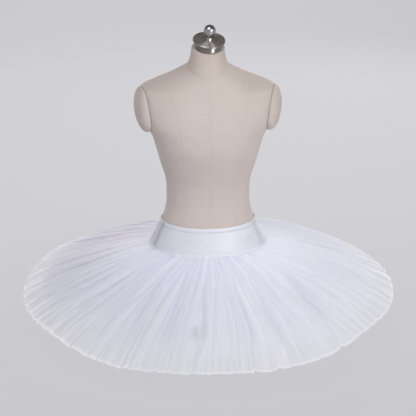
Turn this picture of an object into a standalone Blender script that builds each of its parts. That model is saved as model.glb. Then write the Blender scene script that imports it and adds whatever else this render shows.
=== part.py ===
"""Pancake tutu on a limbless tabletop dress form.

The form stands on its flat underside at the origin, +Z up, facing -Y, and its cloth-covered
torso ends in two shoulder caps and a turned metal neck plate with a ball knob.  The tutu is a
waistband and a fitted basque of two panels, a plain hip yoke below them, and five pleated net
layers sewn round the yoke, each shorter than the one above it.  All sizes are in metres.
"""
import math

import bmesh
import bpy
import numpy as np
from mathutils import Euler, Vector

# ---- clearances ---------------------------------------------------------------------------
SEAM = 0.0003               # between two pieces that are sewn or seated face to face
EASE = 0.0005               # between the form and the cloth that is worn on it

# ---- dress form ---------------------------------------------------------------------------
FORM_COLUMNS = 48           # facets round the form and round the cloth that lies on it
FORM_COLUMN_NAMES = ("height", "half_width", "front", "back", "squareness", "tilt")
FORM_SECTIONS = np.array((
    # height  half_width  front   back   squareness  tilt      what lies there
    (0.0000,    0.1580,  0.1160, 0.1200,    2.20,    0.00),  # flat underside
    (0.0700,    0.1650,  0.1230, 0.1290,    2.20,    0.00),
    (0.1500,    0.1665,  0.1270, 0.1310,    2.20,    0.00),  # fullest hip
    (0.1900,    0.1635,  0.1255, 0.1285,    2.15,    0.00),
    (0.2265,    0.1575,  0.1225, 0.1230,    2.10,    0.00),  # lower edge of the basque
    (0.2600,    0.1425,  0.1095, 0.1080,    2.05,    0.00),
    (0.2970,    0.1262,  0.0945, 0.0935,    2.05,    0.00),  # upper edge of the waistband
    (0.3350,    0.1155,  0.0865, 0.0850,    2.05,    0.00),
    (0.3730,    0.1133,  0.0850, 0.0830,    2.05,    0.00),  # waist
    (0.4130,    0.1157,  0.0890, 0.0840,    2.10,    0.00),
    (0.4590,    0.1290,  0.1020, 0.0890,    2.15,    0.00),
    (0.5050,    0.1410,  0.1160, 0.0940,    2.20,    0.00),
    (0.5430,    0.1530,  0.1185, 0.0970,    2.25,    0.00),  # underarm, end of the arm opening
    (0.5750,    0.1725,  0.1140, 0.0980,    2.35,    0.00),
    (0.6065,    0.1815,  0.1060, 0.0970,    2.40,    0.00),
    (0.6400,    0.1860,  0.0940, 0.0920,    2.40,    0.04),
    (0.6580,    0.1840,  0.0870, 0.0870,    2.40,    0.09),
    (0.6700,    0.1750,  0.0830, 0.0830,    2.35,    0.13),  # shoulder point
    (0.6800,    0.1520,  0.0780, 0.0780,    2.30,    0.19),
    (0.6900,    0.1210,  0.0730, 0.0730,    2.25,    0.24),
    (0.7000,    0.0920,  0.0690, 0.0680,    2.20,    0.29),
    (0.7110,    0.0680,  0.0650, 0.0620,    2.10,    0.33),
    (0.7200,    0.0570,  0.0625, 0.0575,    2.00,    0.35),
    (0.7290,    0.0525,  0.0600, 0.0540,    2.00,    0.35),  # root of the neck
    (0.7420,    0.0480,  0.0550, 0.0490,    2.00,    0.33),
    (0.7560,    0.0450,  0.0490, 0.0440,    2.00,    0.30),
    (0.7725,    0.0435,  0.0435, 0.0400,    2.00,    0.287),  # neck top
))
WAIST_HEIGHT = 0.373                # the arm openings are cut above this only
SHOULDER_REACH = 0.200              # half width at which a ring's forward tilt has died out
CENTRE_EASE = 0.010                 # rounds the tilt over the middle, where it would crease
ARM_OPENING_LOW = (0.1604, 0.543)   # an arm opening's plane over the side: half width, height
ARM_OPENING_HIGH = (0.1756, 0.670)  # and again at the shoulder point
ARM_OPENING_TURN = 0.20             # how steeply the plane runs in towards the front
CAP_BULGE = 0.0290                  # how far a shoulder cap swells out of its opening
CAP_ROUNDNESS = (2.7, 1.8)          # at its lower and upper end: 2 is elliptic, more is fuller
CAP_RINGS = 6

# ---- metal neck plate and knob ---------------------------------------------------------------
NECK_TILT = math.atan(0.287)        # the neck top leans forward
NECK_LEAN = math.radians(3.0)       # and a little to the wearer's left, +X
NECK_CENTRE = (0.001, -0.003)       # of the neck top, x and y
COLLAR_RADIUS = 0.0375
COLLAR_HEIGHT = 0.0165
PLATE_RADIUS = 0.0425
PLATE_THICKNESS = 0.0045
PLATE_EDGE = 0.0008                 # bevel round the plate's upper and lower edge
STEM_RADIUS = 0.007
STEM_LENGTH = 0.0105
BALL_RADIUS = 0.016
TURNED_STEPS = 28

# ---- fitted cloth: waistband, basque panels and hip yoke ---------------------------------------
WAISTBAND_HEIGHT = 0.011
BASQUE_TOP = 0.2970                 # upper edge of the waistband
BASQUE_BOTTOM = 0.2265
YOKE_BOTTOM = 0.1560
SATIN = 0.0015                      # wall of the waistband and basque
YOKE_CLOTH = 0.0012
BASQUE_ROWS = 5
YOKE_ROWS = 4
SIDE_SEAM_COLUMNS = (0, FORM_COLUMNS // 2)   # the form's columns at +X and -X

# ---- pleated net --------------------------------------------------------------------------------
NET = 0.0012                        # wall of one net layer
BRIM_RADIUS = 0.518
BRIM_DROP = 0.1355                  # from the top layer's seam down to its rim
STRAIGHT_DROP = 0.58                # share of the drop that is a straight cone, the rest curves
NET_SEAM_HEIGHT = 0.2225            # of the top layer, on the yoke just below the basque
NET_SEAM_OUT = 0.0030               # from the form out to a layer's upper edge at the yoke
SEAM_STEP = 0.0130                  # from one layer's seam down to the next
RIM_STEP = 0.0105                   # from one layer down to the next, out at the rim
FOLD_AT_SEAM = 0.0022               # height of a pleat at the seam
FOLD_AT_RIM = 0.0056                # and at the rim
NOTCH = 0.0040                      # how far the rim steps in where a pleat folds under
NET_LAYERS = (
    # pleats  radius  rows of points from seam to rim
    (60, 0.518, 5),
    (48, 0.462, 4),
    (36, 0.402, 4),
    (28, 0.338, 3),
    (20, 0.272, 3),
)
PLEAT_SHAPE = ((0.00, 0.0), (0.45, 0.65), (0.86, 1.0))   # place in the pleat, share of height

# The rim isn't a true ring: each row is a direction, how far it rises and how far it reaches.
RIM_SHAPE = np.array((
    # degrees  rise     reach
    (0,     0.000,   0.003),
    (40,    0.002,   0.001),
    (80,    0.003,   0.000),
    (111,  -0.014,  -0.001),
    (135,   0.004,   0.001),
    (155,   0.006,   0.001),
    (185,  -0.006,  -0.003),
    (210,   0.003,  -0.006),
    (243,  -0.006,   0.002),
    (262,   0.003,   0.001),
    (280,  -0.001,   0.001),
    (300,  -0.002,  -0.001),
    (322,   0.015,  -0.003),
    (345,   0.002,  -0.002),
))
# The deepest folds of the top layer: direction in degrees, and pleats from there to the next.
MAIN_FOLDS = (
    (217.3, 2), (227.9, 1), (233.1, 2), (243.3, 1), (247.8, 1), (252.0, 1), (256.1, 4),
    (278.9, 1), (283.1, 1), (289.2, 2), (298.0, 2), (307.6, 3), (323.5, 39),
)

# ---- materials: colour, roughness, metallic --------------------------------------------------------
LINEN = ("linen", (0.585, 0.510, 0.485), 0.90, 0.0)
SATIN_CLOTH = ("satin", (0.760, 0.775, 0.860), 0.45, 0.0)
NET_CLOTH = ("net", (0.720, 0.730, 0.820), 0.80, 0.0)
STEEL = ("brushed_steel", (0.320, 0.310, 0.300), 0.35, 1.0)
CHROME = ("chrome", (0.750, 0.750, 0.760), 0.12, 1.0)


# ---- helpers ------------------------------------------------------------------------------------------
def clear_scene():
    for thing in list(bpy.data.objects):
        bpy.data.objects.remove(thing, do_unlink=True)


def material(finish):
    name, colour, roughness, metallic = finish
    made = bpy.data.materials.get(name) or bpy.data.materials.new(name)
    made.use_nodes = True
    shader = made.node_tree.nodes["Principled BSDF"]
    shader.inputs["Base Color"].default_value = (*colour, 1.0)
    shader.inputs["Roughness"].default_value = roughness
    shader.inputs["Metallic"].default_value = metallic
    return made


def add_object(name, shape, finish, collection):
    """Wrap a bmesh in an object, with its faces turned outwards and shaded smooth."""
    bmesh.ops.recalc_face_normals(shape, faces=shape.faces)
    mesh = bpy.data.meshes.new(name)
    shape.to_mesh(mesh)
    shape.free()
    mesh.shade_smooth()
    mesh.set_sharp_from_angle(angle=math.radians(40))
    mesh.materials.append(material(finish))
    thing = bpy.data.objects.new(name, mesh)
    collection.objects.link(thing)
    return thing


def smooth_rows(table, at):
    """Rows of a table read at any value of its first column, along smooth curves."""
    known = table[:, 0]
    slopes = np.gradient(table, known, axis=0)
    row = int(np.clip(np.searchsorted(known, at, side="right") - 1, 0, len(known) - 2))
    span = known[row + 1] - known[row]
    t = (at - known[row]) / span
    value = (2 * t**3 - 3 * t**2 + 1) * table[row] + (3 * t**2 - 2 * t**3) * table[row + 1]
    value += (t**3 - 2 * t**2 + t) * span * slopes[row] + (t**3 - t**2) * span * slopes[row + 1]
    return value


def round_table(table):
    """A table of directions with its end rows repeated one turn before and after."""
    turn = np.zeros(table.shape[1])
    turn[0] = 360
    return np.vstack((table[-2:] - turn, table, table[:2] + turn))


# ---- the dress form ------------------------------------------------------------------------------------
def form_section(height):
    return dict(zip(FORM_COLUMN_NAMES, smooth_rows(FORM_SECTIONS, height)))


def form_ring(height, outward=0.0):
    """Points round the form at one level, or round something worn that far outside it."""
    section = form_section(height)
    power = 2 / section["squareness"]
    points = []
    for column in range(FORM_COLUMNS):
        angle = math.tau * column / FORM_COLUMNS
        across, along = math.cos(angle), math.sin(angle)
        depth = section["back"] if along > 0 else section["front"]
        x = math.copysign(abs(across) ** power, across) * (section["half_width"] + outward)
        y = math.copysign(abs(along) ** power, along) * (depth + outward)
        aside = math.hypot(x, CENTRE_EASE) - CENTRE_EASE
        lean = section["tilt"] * max(0.0, 1 - aside / SHOULDER_REACH)
        points.append(Vector((x, y, height + lean * y)))
    return points


def form_radius(height, angle):
    """Distance from the axis to the form's surface in one direction, at one level."""
    section = form_section(height)
    depth = section["back"] if math.sin(angle) > 0 else section["front"]
    power = section["squareness"]
    across = abs(math.cos(angle)) / section["half_width"]
    along = abs(math.sin(angle)) / depth
    return (across**power + along**power) ** (-1 / power)


def form_levels():
    """Heights of the form's rings, closer together where its outline turns."""
    hips = np.linspace(0.0, BASQUE_BOTTOM, 6)
    under_basque = basque_levels()
    body = np.linspace(BASQUE_TOP, ARM_OPENING_LOW[1], 9)
    chest = np.linspace(ARM_OPENING_LOW[1], 0.658, 7)
    shoulders = FORM_SECTIONS[FORM_SECTIONS[:, 0] > 0.660, 0]
    return sorted({round(float(z), 5) for z in (*hips, *under_basque, *body, *chest, *shoulders)})


def join_rings(shape, rings, closed=True):
    """Skin a list of point rings with quads and return the ring vertices."""
    rows = [[shape.verts.new(point) for point in ring] for ring in rings]
    columns = len(rows[0])
    for lower, upper in zip(rows, rows[1:]):
        for column in range(columns if closed else columns - 1):
            after = (column + 1) % columns
            shape.faces.new((lower[column], lower[after], upper[after], upper[column]))
    return rows


def arm_plane(side):
    """A point on the plane of an arm opening, and the plane's outward normal."""
    (low_x, low_z), (high_x, high_z) = ARM_OPENING_LOW, ARM_OPENING_HIGH
    rise = high_z - low_z
    normal = Vector((side * rise, -ARM_OPENING_TURN * rise, low_x - high_x)).normalized()
    return Vector((side * low_x, 0, low_z)), normal


def cut_arm_opening(shape, side):
    """Slice the form off flat at one arm opening and return the opening's outline."""
    point, normal = arm_plane(side)
    middle = (ARM_OPENING_LOW[1] + ARM_OPENING_HIGH[1]) / 2
    faces = [f for f in shape.faces if f.calc_center_median().z > WAIST_HEIGHT]
    geometry = list({part for face in faces for part in (face, *face.edges, *face.verts)})
    cut = bmesh.ops.bisect_plane(
        shape, geom=geometry, plane_co=point, plane_no=normal, clear_outer=True, dist=1e-6)
    edges = [e for e in cut["geom_cut"] if isinstance(e, bmesh.types.BMEdge) and e.is_boundary]
    bmesh.ops.contextual_create(shape, geom=edges)
    outline = {v for e in edges for v in e.verts if abs(v.co.z - middle) < 0.1}
    upward = normal.cross(Vector((0, 1, 0))).normalized()
    forward = normal.cross(upward)
    centre = sum((v.co for v in outline), Vector()) / len(outline)
    return sorted((v.co.copy() for v in outline),
                  key=lambda p: math.atan2((p - centre).dot(forward), (p - centre).dot(upward)))


def build_torso(collection):
    shape = bmesh.new()
    rings = join_rings(shape, [form_ring(z) for z in form_levels()])
    shape.faces.new(rings[0])
    shape.faces.new(rings[-1])
    outlines = {side: cut_arm_opening(shape, side) for side in (-1, 1)}
    add_object("form_torso", shape, LINEN, collection)
    return outlines


def build_shoulder_cap(name, side, outline, collection):
    """A dome over the arm opening: the opening's outline shrinks as it swells outwards."""
    _, normal = arm_plane(side)
    centre = sum(outline, Vector()) / len(outline)
    lowest = min(point.z for point in outline)
    reach = max(point.z for point in outline) - lowest
    full, elliptic = CAP_ROUNDNESS
    shape = bmesh.new()
    rings = []
    for step in range(CAP_RINGS):
        turn = math.radians(90) * step / CAP_RINGS
        ring = []
        for point in outline:
            power = 2 / (full + (elliptic - full) * (point.z - lowest) / reach)
            scale = math.cos(turn) ** power
            out = SEAM + CAP_BULGE * math.sin(turn) ** power
            ring.append(centre + (point - centre) * scale + normal * out)
        rings.append(ring)
    rows = join_rings(shape, rings)
    shape.faces.new(rows[0])
    tip = shape.verts.new(centre + normal * (SEAM + CAP_BULGE))
    for column, vertex in enumerate(rows[-1]):
        shape.faces.new((vertex, rows[-1][(column + 1) % len(outline)], tip))
    add_object(name, shape, LINEN, collection)


# ---- metal parts -------------------------------------------------------------------------------------------
def turned(name, profile, finish, base, collection):
    """Spin a profile of (radius, height) points round the neck's leaning axis."""
    mesh = bpy.data.meshes.new(name)
    edges = [(i, i + 1) for i in range(len(profile) - 1)]
    mesh.from_pydata([(radius, 0, height) for radius, height in profile], edges, [])
    mesh.materials.append(material(finish))
    thing = bpy.data.objects.new(name, mesh)
    collection.objects.link(thing)
    spin = thing.modifiers.new("turned", "SCREW")
    spin.steps = TURNED_STEPS
    spin.render_steps = TURNED_STEPS
    spin.use_merge_vertices = True
    spin.merge_threshold = 0.00001
    spin.use_smooth_shade = True
    thing.location = base
    thing.rotation_euler = Euler((NECK_TILT, NECK_LEAN, 0), "XYZ")
    return thing


def neck_top():
    """The centre of the flat neck top, on its tilted plane."""
    top = form_section(FORM_SECTIONS[-1, 0])
    x, y = NECK_CENTRE
    return Vector((x, y, top["height"] + top["tilt"] * y))


def neck_axis():
    return Euler((NECK_TILT, NECK_LEAN, 0), "XYZ").to_matrix() @ Vector((0, 0, 1))


def build_neck_plate(collection):
    """A collar that stands on the neck top, with a wider plate on it."""
    lift = SEAM + COLLAR_RADIUS * math.sin(NECK_LEAN)
    top = COLLAR_HEIGHT + PLATE_THICKNESS
    profile = (
        (0, top),
        (PLATE_RADIUS - PLATE_EDGE, top),
        (PLATE_RADIUS, top - PLATE_EDGE),
        (PLATE_RADIUS, COLLAR_HEIGHT + PLATE_EDGE),
        (PLATE_RADIUS - PLATE_EDGE, COLLAR_HEIGHT),
        (COLLAR_RADIUS, COLLAR_HEIGHT),
        (COLLAR_RADIUS, 0),
        (0, 0),
    )
    turned("neck_plate", profile, STEEL, neck_top() + lift * neck_axis(), collection)
    return lift + top


def build_knob(plate_top, collection):
    """A ball on a short stem, seated on the plate."""
    ball_centre = STEM_LENGTH + math.sqrt(BALL_RADIUS**2 - STEM_RADIUS**2)
    lowest = math.asin(STEM_RADIUS / BALL_RADIUS)
    arc = np.linspace(0, math.pi - lowest, 11)
    ball = [(BALL_RADIUS * math.sin(a), ball_centre + BALL_RADIUS * math.cos(a)) for a in arc]
    profile = (*ball, (STEM_RADIUS, 0), (0, 0))
    base = neck_top() + (plate_top + SEAM) * neck_axis()
    turned("neck_knob", profile, CHROME, base, collection)


# ---- fitted cloth ------------------------------------------------------------------------------------------
def basque_levels():
    return np.linspace(BASQUE_BOTTOM, BASQUE_TOP - WAISTBAND_HEIGHT - SEAM, BASQUE_ROWS)


def cloth_wall(name, shape, thickness, finish, collection, outward=1):
    """Give a sheet its thickness: outwards from the form, or down where outward is -1."""
    thing = add_object(name, shape, finish, collection)
    wall = thing.modifiers.new("cloth", "SOLIDIFY")
    wall.thickness = thickness
    wall.offset = outward
    wall.use_even_offset = True
    return thing


def build_fitted_tube(name, levels, thickness, finish, collection):
    shape = bmesh.new()
    join_rings(shape, [form_ring(z, EASE) for z in levels])
    cloth_wall(name, shape, thickness, finish, collection)


def build_basque_panel(name, first, last, collection):
    """One panel from side seam to side seam, stopping half a seam gap short of each."""
    sheet = []
    for height in basque_levels():
        ring = form_ring(height, EASE)
        row = [ring[column % FORM_COLUMNS].copy() for column in range(first, last + 1)]
        row[0] += (row[1] - row[0]).normalized() * SEAM / 2
        row[-1] += (row[-2] - row[-1]).normalized() * SEAM / 2
        sheet.append(row)
    shape = bmesh.new()
    join_rings(shape, sheet, closed=False)
    cloth_wall(name, shape, SATIN, SATIN_CLOTH, collection)


# ---- pleated net ------------------------------------------------------------------------------------------
def brim_drop(share):
    """How far the brim has dropped at a share of the way from its seam to its rim."""
    return BRIM_DROP * (STRAIGHT_DROP * share + (1 - STRAIGHT_DROP) * share**2)


def even_folds(pleats):
    """Where each pleat starts, in degrees: pleats of uneven width round the whole turn."""
    index = np.arange(pleats)
    widths = 1 + 0.28 * np.sin(2.4 * index) + 0.18 * np.sin(5.1 * index + pleats)
    return np.concatenate(([0.0], np.cumsum(widths)[:-1])) * 360 / widths.sum()


def main_folds():
    """The same for the top layer, whose deepest folds lie in given directions."""
    starts = []
    for row, (angle, pleats) in enumerate(MAIN_FOLDS):
        following = MAIN_FOLDS[(row + 1) % len(MAIN_FOLDS)][0]
        span = (following - angle) % 360
        starts.extend(angle + even_folds(pleats) * span / 360)
    return np.array(starts)


def pleat_columns(starts):
    """Directions round a layer, with the share of full pleat height at each."""
    columns = []
    for index, start in enumerate(starts):
        following = starts[index + 1] if index + 1 < len(starts) else starts[0] + 360
        height = 0.9 + 0.16 * math.sin(1.7 * index) + 0.09 * math.sin(4.3 * index)
        for place, share in PLEAT_SHAPE:
            angle = start + (following - start) * place
            columns.append((math.radians(angle), share * height))
    return columns


def net_point(angle, fold, share, layer, radius):
    """A point on a layer's upper side, at a share of the way from its seam to its rim."""
    rim = smooth_rows(round_table(RIM_SHAPE), math.degrees(angle) % 360)
    seam_height = NET_SEAM_HEIGHT - SEAM_STEP * layer
    seam_radius = form_radius(seam_height, angle) + NET_SEAM_OUT
    top_seam = form_radius(NET_SEAM_HEIGHT, angle) + NET_SEAM_OUT
    rim_radius = radius + rim[2] + NOTCH * (fold - 0.5)
    out = seam_radius + (rim_radius - seam_radius) * share
    along_brim = (out - top_seam) / (BRIM_RADIUS - top_seam)
    step = SEAM_STEP + (RIM_STEP - SEAM_STEP) * along_brim
    fold_height = (FOLD_AT_SEAM + (FOLD_AT_RIM - FOLD_AT_SEAM) * along_brim) * fold
    height = NET_SEAM_HEIGHT - brim_drop(along_brim) + rim[1] * along_brim**2
    height += fold_height - step * layer
    return Vector((out * math.cos(angle), out * math.sin(angle), height))


def build_net_layer(layer, pleats, radius, rows, collection):
    starts = main_folds() if layer == 0 else even_folds(pleats)
    columns = pleat_columns(starts)
    shares = np.linspace(0, 1, rows) ** 1.25
    sheet = [[net_point(angle, fold, share, layer, radius) for angle, fold in columns]
             for share in reversed(shares)]
    shape = bmesh.new()
    join_rings(shape, sheet)
    cloth_wall(f"net_layer_{layer + 1}", shape, NET, NET_CLOTH, collection, outward=-1)


# ---- assembly ------------------------------------------------------------------------------------------------
def build():
    clear_scene()
    tutu = bpy.data.collections.new("ballet_tutu_on_dress_form")
    bpy.context.scene.collection.children.link(tutu)

    outlines = build_torso(tutu)
    build_shoulder_cap("form_cap_left", 1, outlines[1], tutu)
    build_shoulder_cap("form_cap_right", -1, outlines[-1], tutu)
    plate_top = build_neck_plate(tutu)
    build_knob(plate_top, tutu)

    waistband = (BASQUE_TOP - WAISTBAND_HEIGHT, BASQUE_TOP)
    build_fitted_tube("waistband", waistband, SATIN, SATIN_CLOTH, tutu)
    front_side, back_side = SIDE_SEAM_COLUMNS
    build_basque_panel("basque_back", front_side, back_side, tutu)
    build_basque_panel("basque_front", back_side, FORM_COLUMNS, tutu)
    yoke = np.linspace(YOKE_BOTTOM, BASQUE_BOTTOM - SEAM, YOKE_ROWS)
    build_fitted_tube("hip_yoke", yoke, YOKE_CLOTH, SATIN_CLOTH, tutu)
    for layer, (pleats, radius, rows) in enumerate(NET_LAYERS):
        build_net_layer(layer, pleats, radius, rows, tutu)


build()
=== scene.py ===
# %% [markdown]
# # A pancake tutu on a tabletop dress form
#
# A classical tutu is a fitted basque with a stiff brim of net below it, pleated and sewn round a
# hip yoke in layers, each shorter than the one above.  This one is shown on a limbless form that
# is covered in linen and has a turned metal neck.  The frame already holds every solid in its
# place.  The lesson dresses them: finer surfaces in the same places, pleats that really overlap,
# seams that lie in grooves, and finishes that are made from nodes alone.

# %% open the frame
import math

import bmesh
import bpy
import numpy as np
from mathutils import Euler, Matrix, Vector


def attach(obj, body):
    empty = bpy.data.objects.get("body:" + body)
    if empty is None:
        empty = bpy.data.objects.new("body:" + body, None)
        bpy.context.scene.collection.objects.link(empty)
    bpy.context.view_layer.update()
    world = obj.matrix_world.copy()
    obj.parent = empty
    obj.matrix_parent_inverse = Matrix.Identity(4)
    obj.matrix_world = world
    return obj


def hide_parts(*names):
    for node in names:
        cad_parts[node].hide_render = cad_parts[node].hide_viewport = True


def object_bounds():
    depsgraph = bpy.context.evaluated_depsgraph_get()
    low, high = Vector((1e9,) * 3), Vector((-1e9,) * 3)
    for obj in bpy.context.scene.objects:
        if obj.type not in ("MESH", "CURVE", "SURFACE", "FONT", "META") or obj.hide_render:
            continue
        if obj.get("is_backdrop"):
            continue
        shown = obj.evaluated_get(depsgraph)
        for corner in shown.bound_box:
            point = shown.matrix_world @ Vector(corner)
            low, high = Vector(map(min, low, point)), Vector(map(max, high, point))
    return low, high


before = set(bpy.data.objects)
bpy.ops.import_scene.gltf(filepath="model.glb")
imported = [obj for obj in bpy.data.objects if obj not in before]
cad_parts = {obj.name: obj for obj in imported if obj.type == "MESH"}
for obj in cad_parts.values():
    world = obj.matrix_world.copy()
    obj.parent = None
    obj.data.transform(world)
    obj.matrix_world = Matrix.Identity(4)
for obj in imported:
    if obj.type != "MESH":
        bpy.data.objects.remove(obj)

solid_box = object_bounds()
print("solids reach to", [round(v, 3) for v in solid_box[1]])

# %% [markdown]
# ## Where we stand and look from
#
# A product shot is taken from a little above, through a long lens, so that the brim reads as a
# disc and the form keeps its proportions.  The lens is given as pixels of focal length over
# pixels of picture, which is the same ratio as millimetres of lens over millimetres of sensor.
# The picture is square, 416 pixels a side.

# %% camera
PICTURE = 416
FOCAL_PIXELS = 1200
LOOK_AT = Vector((0.0, 0.0, 0.32))
AWAY = 3.3
TURNED_BY = math.radians(-4.0)
RAISED_BY = math.radians(21.14)

back = Vector((
    math.sin(TURNED_BY) * math.cos(RAISED_BY),
    -math.cos(TURNED_BY) * math.cos(RAISED_BY),
    math.sin(RAISED_BY),
))
camera = bpy.data.objects.new("camera", bpy.data.cameras.new("camera"))
camera.data.sensor_width = 36.0
camera.data.lens = 36.0 * FOCAL_PIXELS / PICTURE
camera.location = LOOK_AT + back * AWAY
camera.rotation_mode = "QUATERNION"
camera.rotation_quaternion = (-back).to_track_quat("-Z", "Y")
bpy.context.scene.collection.objects.link(camera)
bpy.context.scene.camera = camera
print("camera stands at", [round(v, 3) for v in camera.location])

# %% [markdown]
# ## Sums on shader values
#
# A finish is a small graph of nodes.  It could be drawn node by node, but sums are easier to
# read as sums.  A Tone wraps one output socket, and adding or multiplying it adds a Math node,
# so `1 - mask` means what it says.  A Finish owns the material, and its one method, node, adds
# any other node: first its settings, then what goes into its sockets.

# %% tones and finishes
class Tone:
    """A value that changes over a surface: one output socket of one finish."""

    def __init__(self, finish, socket):
        self.finish = finish
        self.socket = socket

    def sum(self, operation, first, second):
        return self.finish.node("Math", {"operation": operation}, {0: first, 1: second})

    def __add__(self, other):
        return self.sum("ADD", self, other)

    def __radd__(self, other):
        return self.sum("ADD", other, self)

    def __sub__(self, other):
        return self.sum("SUBTRACT", self, other)

    def __rsub__(self, other):
        return self.sum("SUBTRACT", other, self)

    def __mul__(self, other):
        return self.sum("MULTIPLY", self, other)

    def __rmul__(self, other):
        return self.sum("MULTIPLY", other, self)

    def __pow__(self, other):
        return self.sum("POWER", self, other)

    def between(self, low, high):
        """0 below low, 1 above high and an even slope in the middle."""
        settings = {"clamp": True}
        sockets = {"Value": self, "From Min": low, "From Max": high}
        return self.finish.node("MapRange", settings, sockets)


class Finish:
    """A material, and the one way that nodes are added to it."""

    def __init__(self, name):
        self.material = bpy.data.materials.new(name)
        self.material.use_nodes = True
        self.tree = self.material.node_tree
        self.shader = self.tree.nodes["Principled BSDF"]
        self.output = self.tree.nodes["Material Output"]

    def feed(self, socket, value):
        if isinstance(value, Tone):
            self.tree.links.new(value.socket, socket)
        else:
            socket.default_value = value

    def node(self, kind, settings=None, sockets=None, output=0):
        made = self.tree.nodes.new("ShaderNode" + kind)
        for name, value in (settings or {}).items():
            setattr(made, name, value)
        for name, value in (sockets or {}).items():
            self.feed(made.inputs[name], value)
        return Tone(self, made.outputs[output])

    def surface(self, sockets):
        for name, value in sockets.items():
            self.feed(self.shader.inputs[name], value)

    def cloth(self):
        """The place on the cloth, in metres across and along it."""
        return self.node("UVMap", {"uv_map": "cloth"})

    def grain(self, across, along, detail=2.0, seed=0.0):
        """Noise whose grain measures across and along the cloth in metres."""
        sockets = {0: self.cloth(), 1: (1 / across, 1 / along, 0.0)}
        place = self.node("VectorMath", {"operation": "MULTIPLY"}, sockets)
        sockets = {"Vector": place, "W": seed, "Scale": 1.0, "Detail": detail}
        return self.node("TexNoise", {"noise_dimensions": "4D"}, sockets)

    def threads(self, spacing, direction):
        """Even threads: a wave across the cloth (X) or along it (Y)."""
        settings = {"wave_type": "BANDS", "bands_direction": direction}
        sockets = {"Vector": self.cloth(), "Scale": math.tau / 20 / spacing}
        return self.node("TexWave", settings, sockets, 1)

    def worked(self, name):
        """A value painted on the mesh while it was made, such as where its seams run."""
        return self.node("Attribute", {"attribute_name": name}, {}, 2)

    def blend(self, share, first, second):
        """A colour part of the way from the first to the second."""
        return self.node("Mix", {"data_type": "RGBA"}, {0: share, 6: first, 7: second}, 2)

    def relief(self, height, distance):
        """Normals for a height that runs from 0 to 1 over a distance in metres."""
        return self.node("Bump", {}, {"Distance": distance, "Height": height})

print("finishes are made with", len([m for m in dir(Finish) if not m.startswith("_")]), "helpers")

# %% [markdown]
# ## A pale studio
#
# The floor could be a plain diffuse plane, but then every lamp would stain it.  Part of it
# glows by itself, so it stays an even pale grey, a touch lighter behind the form, and takes
# only a faint shadow.  The standard view keeps the colours as they are mixed.

# %% floor and air
bpy.context.scene.view_settings.view_transform = "Standard"

floor_finish = Finish("studio_floor")
floor_place = floor_finish.node("TexCoord", {}, {}, 3)
floor_side = floor_finish.node("SeparateXYZ", {}, {0: floor_place}, 0)
floor_depth = floor_finish.node("SeparateXYZ", {}, {0: floor_place}, 1)
floor_side = 1 - (floor_side * floor_side).between(0.0, 8.0)
floor_front = floor_depth.between(-1.6, 0.9)
floor_rear = 1 - floor_depth.between(6.0, 20.0)
floor_pool = floor_side * floor_front * floor_rear
floor_colour = floor_finish.blend(
    floor_pool, (0.590, 0.585, 0.614, 1), (0.692, 0.686, 0.720, 1))
floor_finish.surface({
    "Base Color": (0.050, 0.050, 0.051, 1),
    "Roughness": 1.0,
    "Specular IOR Level": 0.0,
    "Emission Color": floor_colour,
    "Emission Strength": 0.86,
})

floor_mesh = bpy.data.meshes.new("floor")
floor_mesh.from_pydata([(-12, -12, 0), (12, -12, 0), (12, 12, 0), (-12, 12, 0)], [], [(0, 1, 2, 3)])
floor_mesh.materials.append(floor_finish.material)
floor = bpy.data.objects.new("floor", floor_mesh)
floor.location.z = -0.0006
bpy.context.scene.collection.objects.link(floor)
floor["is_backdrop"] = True

air = bpy.data.worlds.new("studio_air")
air.use_nodes = True
air_sky = air.node_tree.nodes.new("ShaderNodeTexCoord")
air_split = air.node_tree.nodes.new("ShaderNodeSeparateXYZ")
air_ramp = air.node_tree.nodes.new("ShaderNodeValToRGB")
air_ramp.color_ramp.elements[0].position = 0.10
air_ramp.color_ramp.elements[0].color = (0.560, 0.557, 0.580, 1)
air_ramp.color_ramp.elements[1].position = 0.62
air_ramp.color_ramp.elements[1].color = (0.150, 0.150, 0.155, 1)
air.node_tree.links.new(air_sky.outputs["Generated"], air_split.inputs[0])
air.node_tree.links.new(air_split.outputs["Z"], air_ramp.inputs[0])
air.node_tree.links.new(air_ramp.outputs["Color"], air.node_tree.nodes["Background"].inputs["Color"])
air.node_tree.nodes["Background"].inputs["Strength"].default_value = 1.0
bpy.context.scene.world = air
print("floor finish:", len(floor_finish.tree.nodes), "nodes")

# %% lamps
def soft_lamp(name, stands, aims_at, across, watts, colour, mirrored=True):
    """A square soft box that stands at one point and faces another."""
    light = bpy.data.lights.new(name, "AREA")
    light.shape = "SQUARE"
    light.size = across
    light.energy = watts
    light.color = colour
    lamp = bpy.data.objects.new(name, light)
    lamp.location = stands
    lamp.rotation_mode = "QUATERNION"
    facing = Vector(aims_at) - Vector(stands)
    lamp.rotation_quaternion = facing.to_track_quat("-Z", "Y")
    lamp.visible_glossy = mirrored
    bpy.context.scene.collection.objects.link(lamp)


soft_lamp("key_right", (1.7, -2.7, 1.7), (0.0, 0.0, 0.42), 1.3, 54.0, (0.965, 0.978, 0.985))
soft_lamp("fill_left", (-2.6, -1.9, 1.5), (0.0, 0.0, 0.40), 1.6, 2.0, (0.97, 0.98, 1.0))
soft_lamp("top_front", (-0.65, -1.2, 2.6), (0.0, 0.0, 0.25), 1.4, 25.5, (0.97, 0.982, 1.0))
soft_lamp("behind_right", (1.2, 2.7, 1.5), (0.1, 0.1, 0.20), 1.4, 53.0, (1.0, 0.965, 0.930), False)
soft_lamp("behind_left", (-1.4, 2.6, 1.3), (-0.1, 0.1, 0.20), 1.2, 15.0, (1.0, 0.930, 0.890), False)

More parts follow.
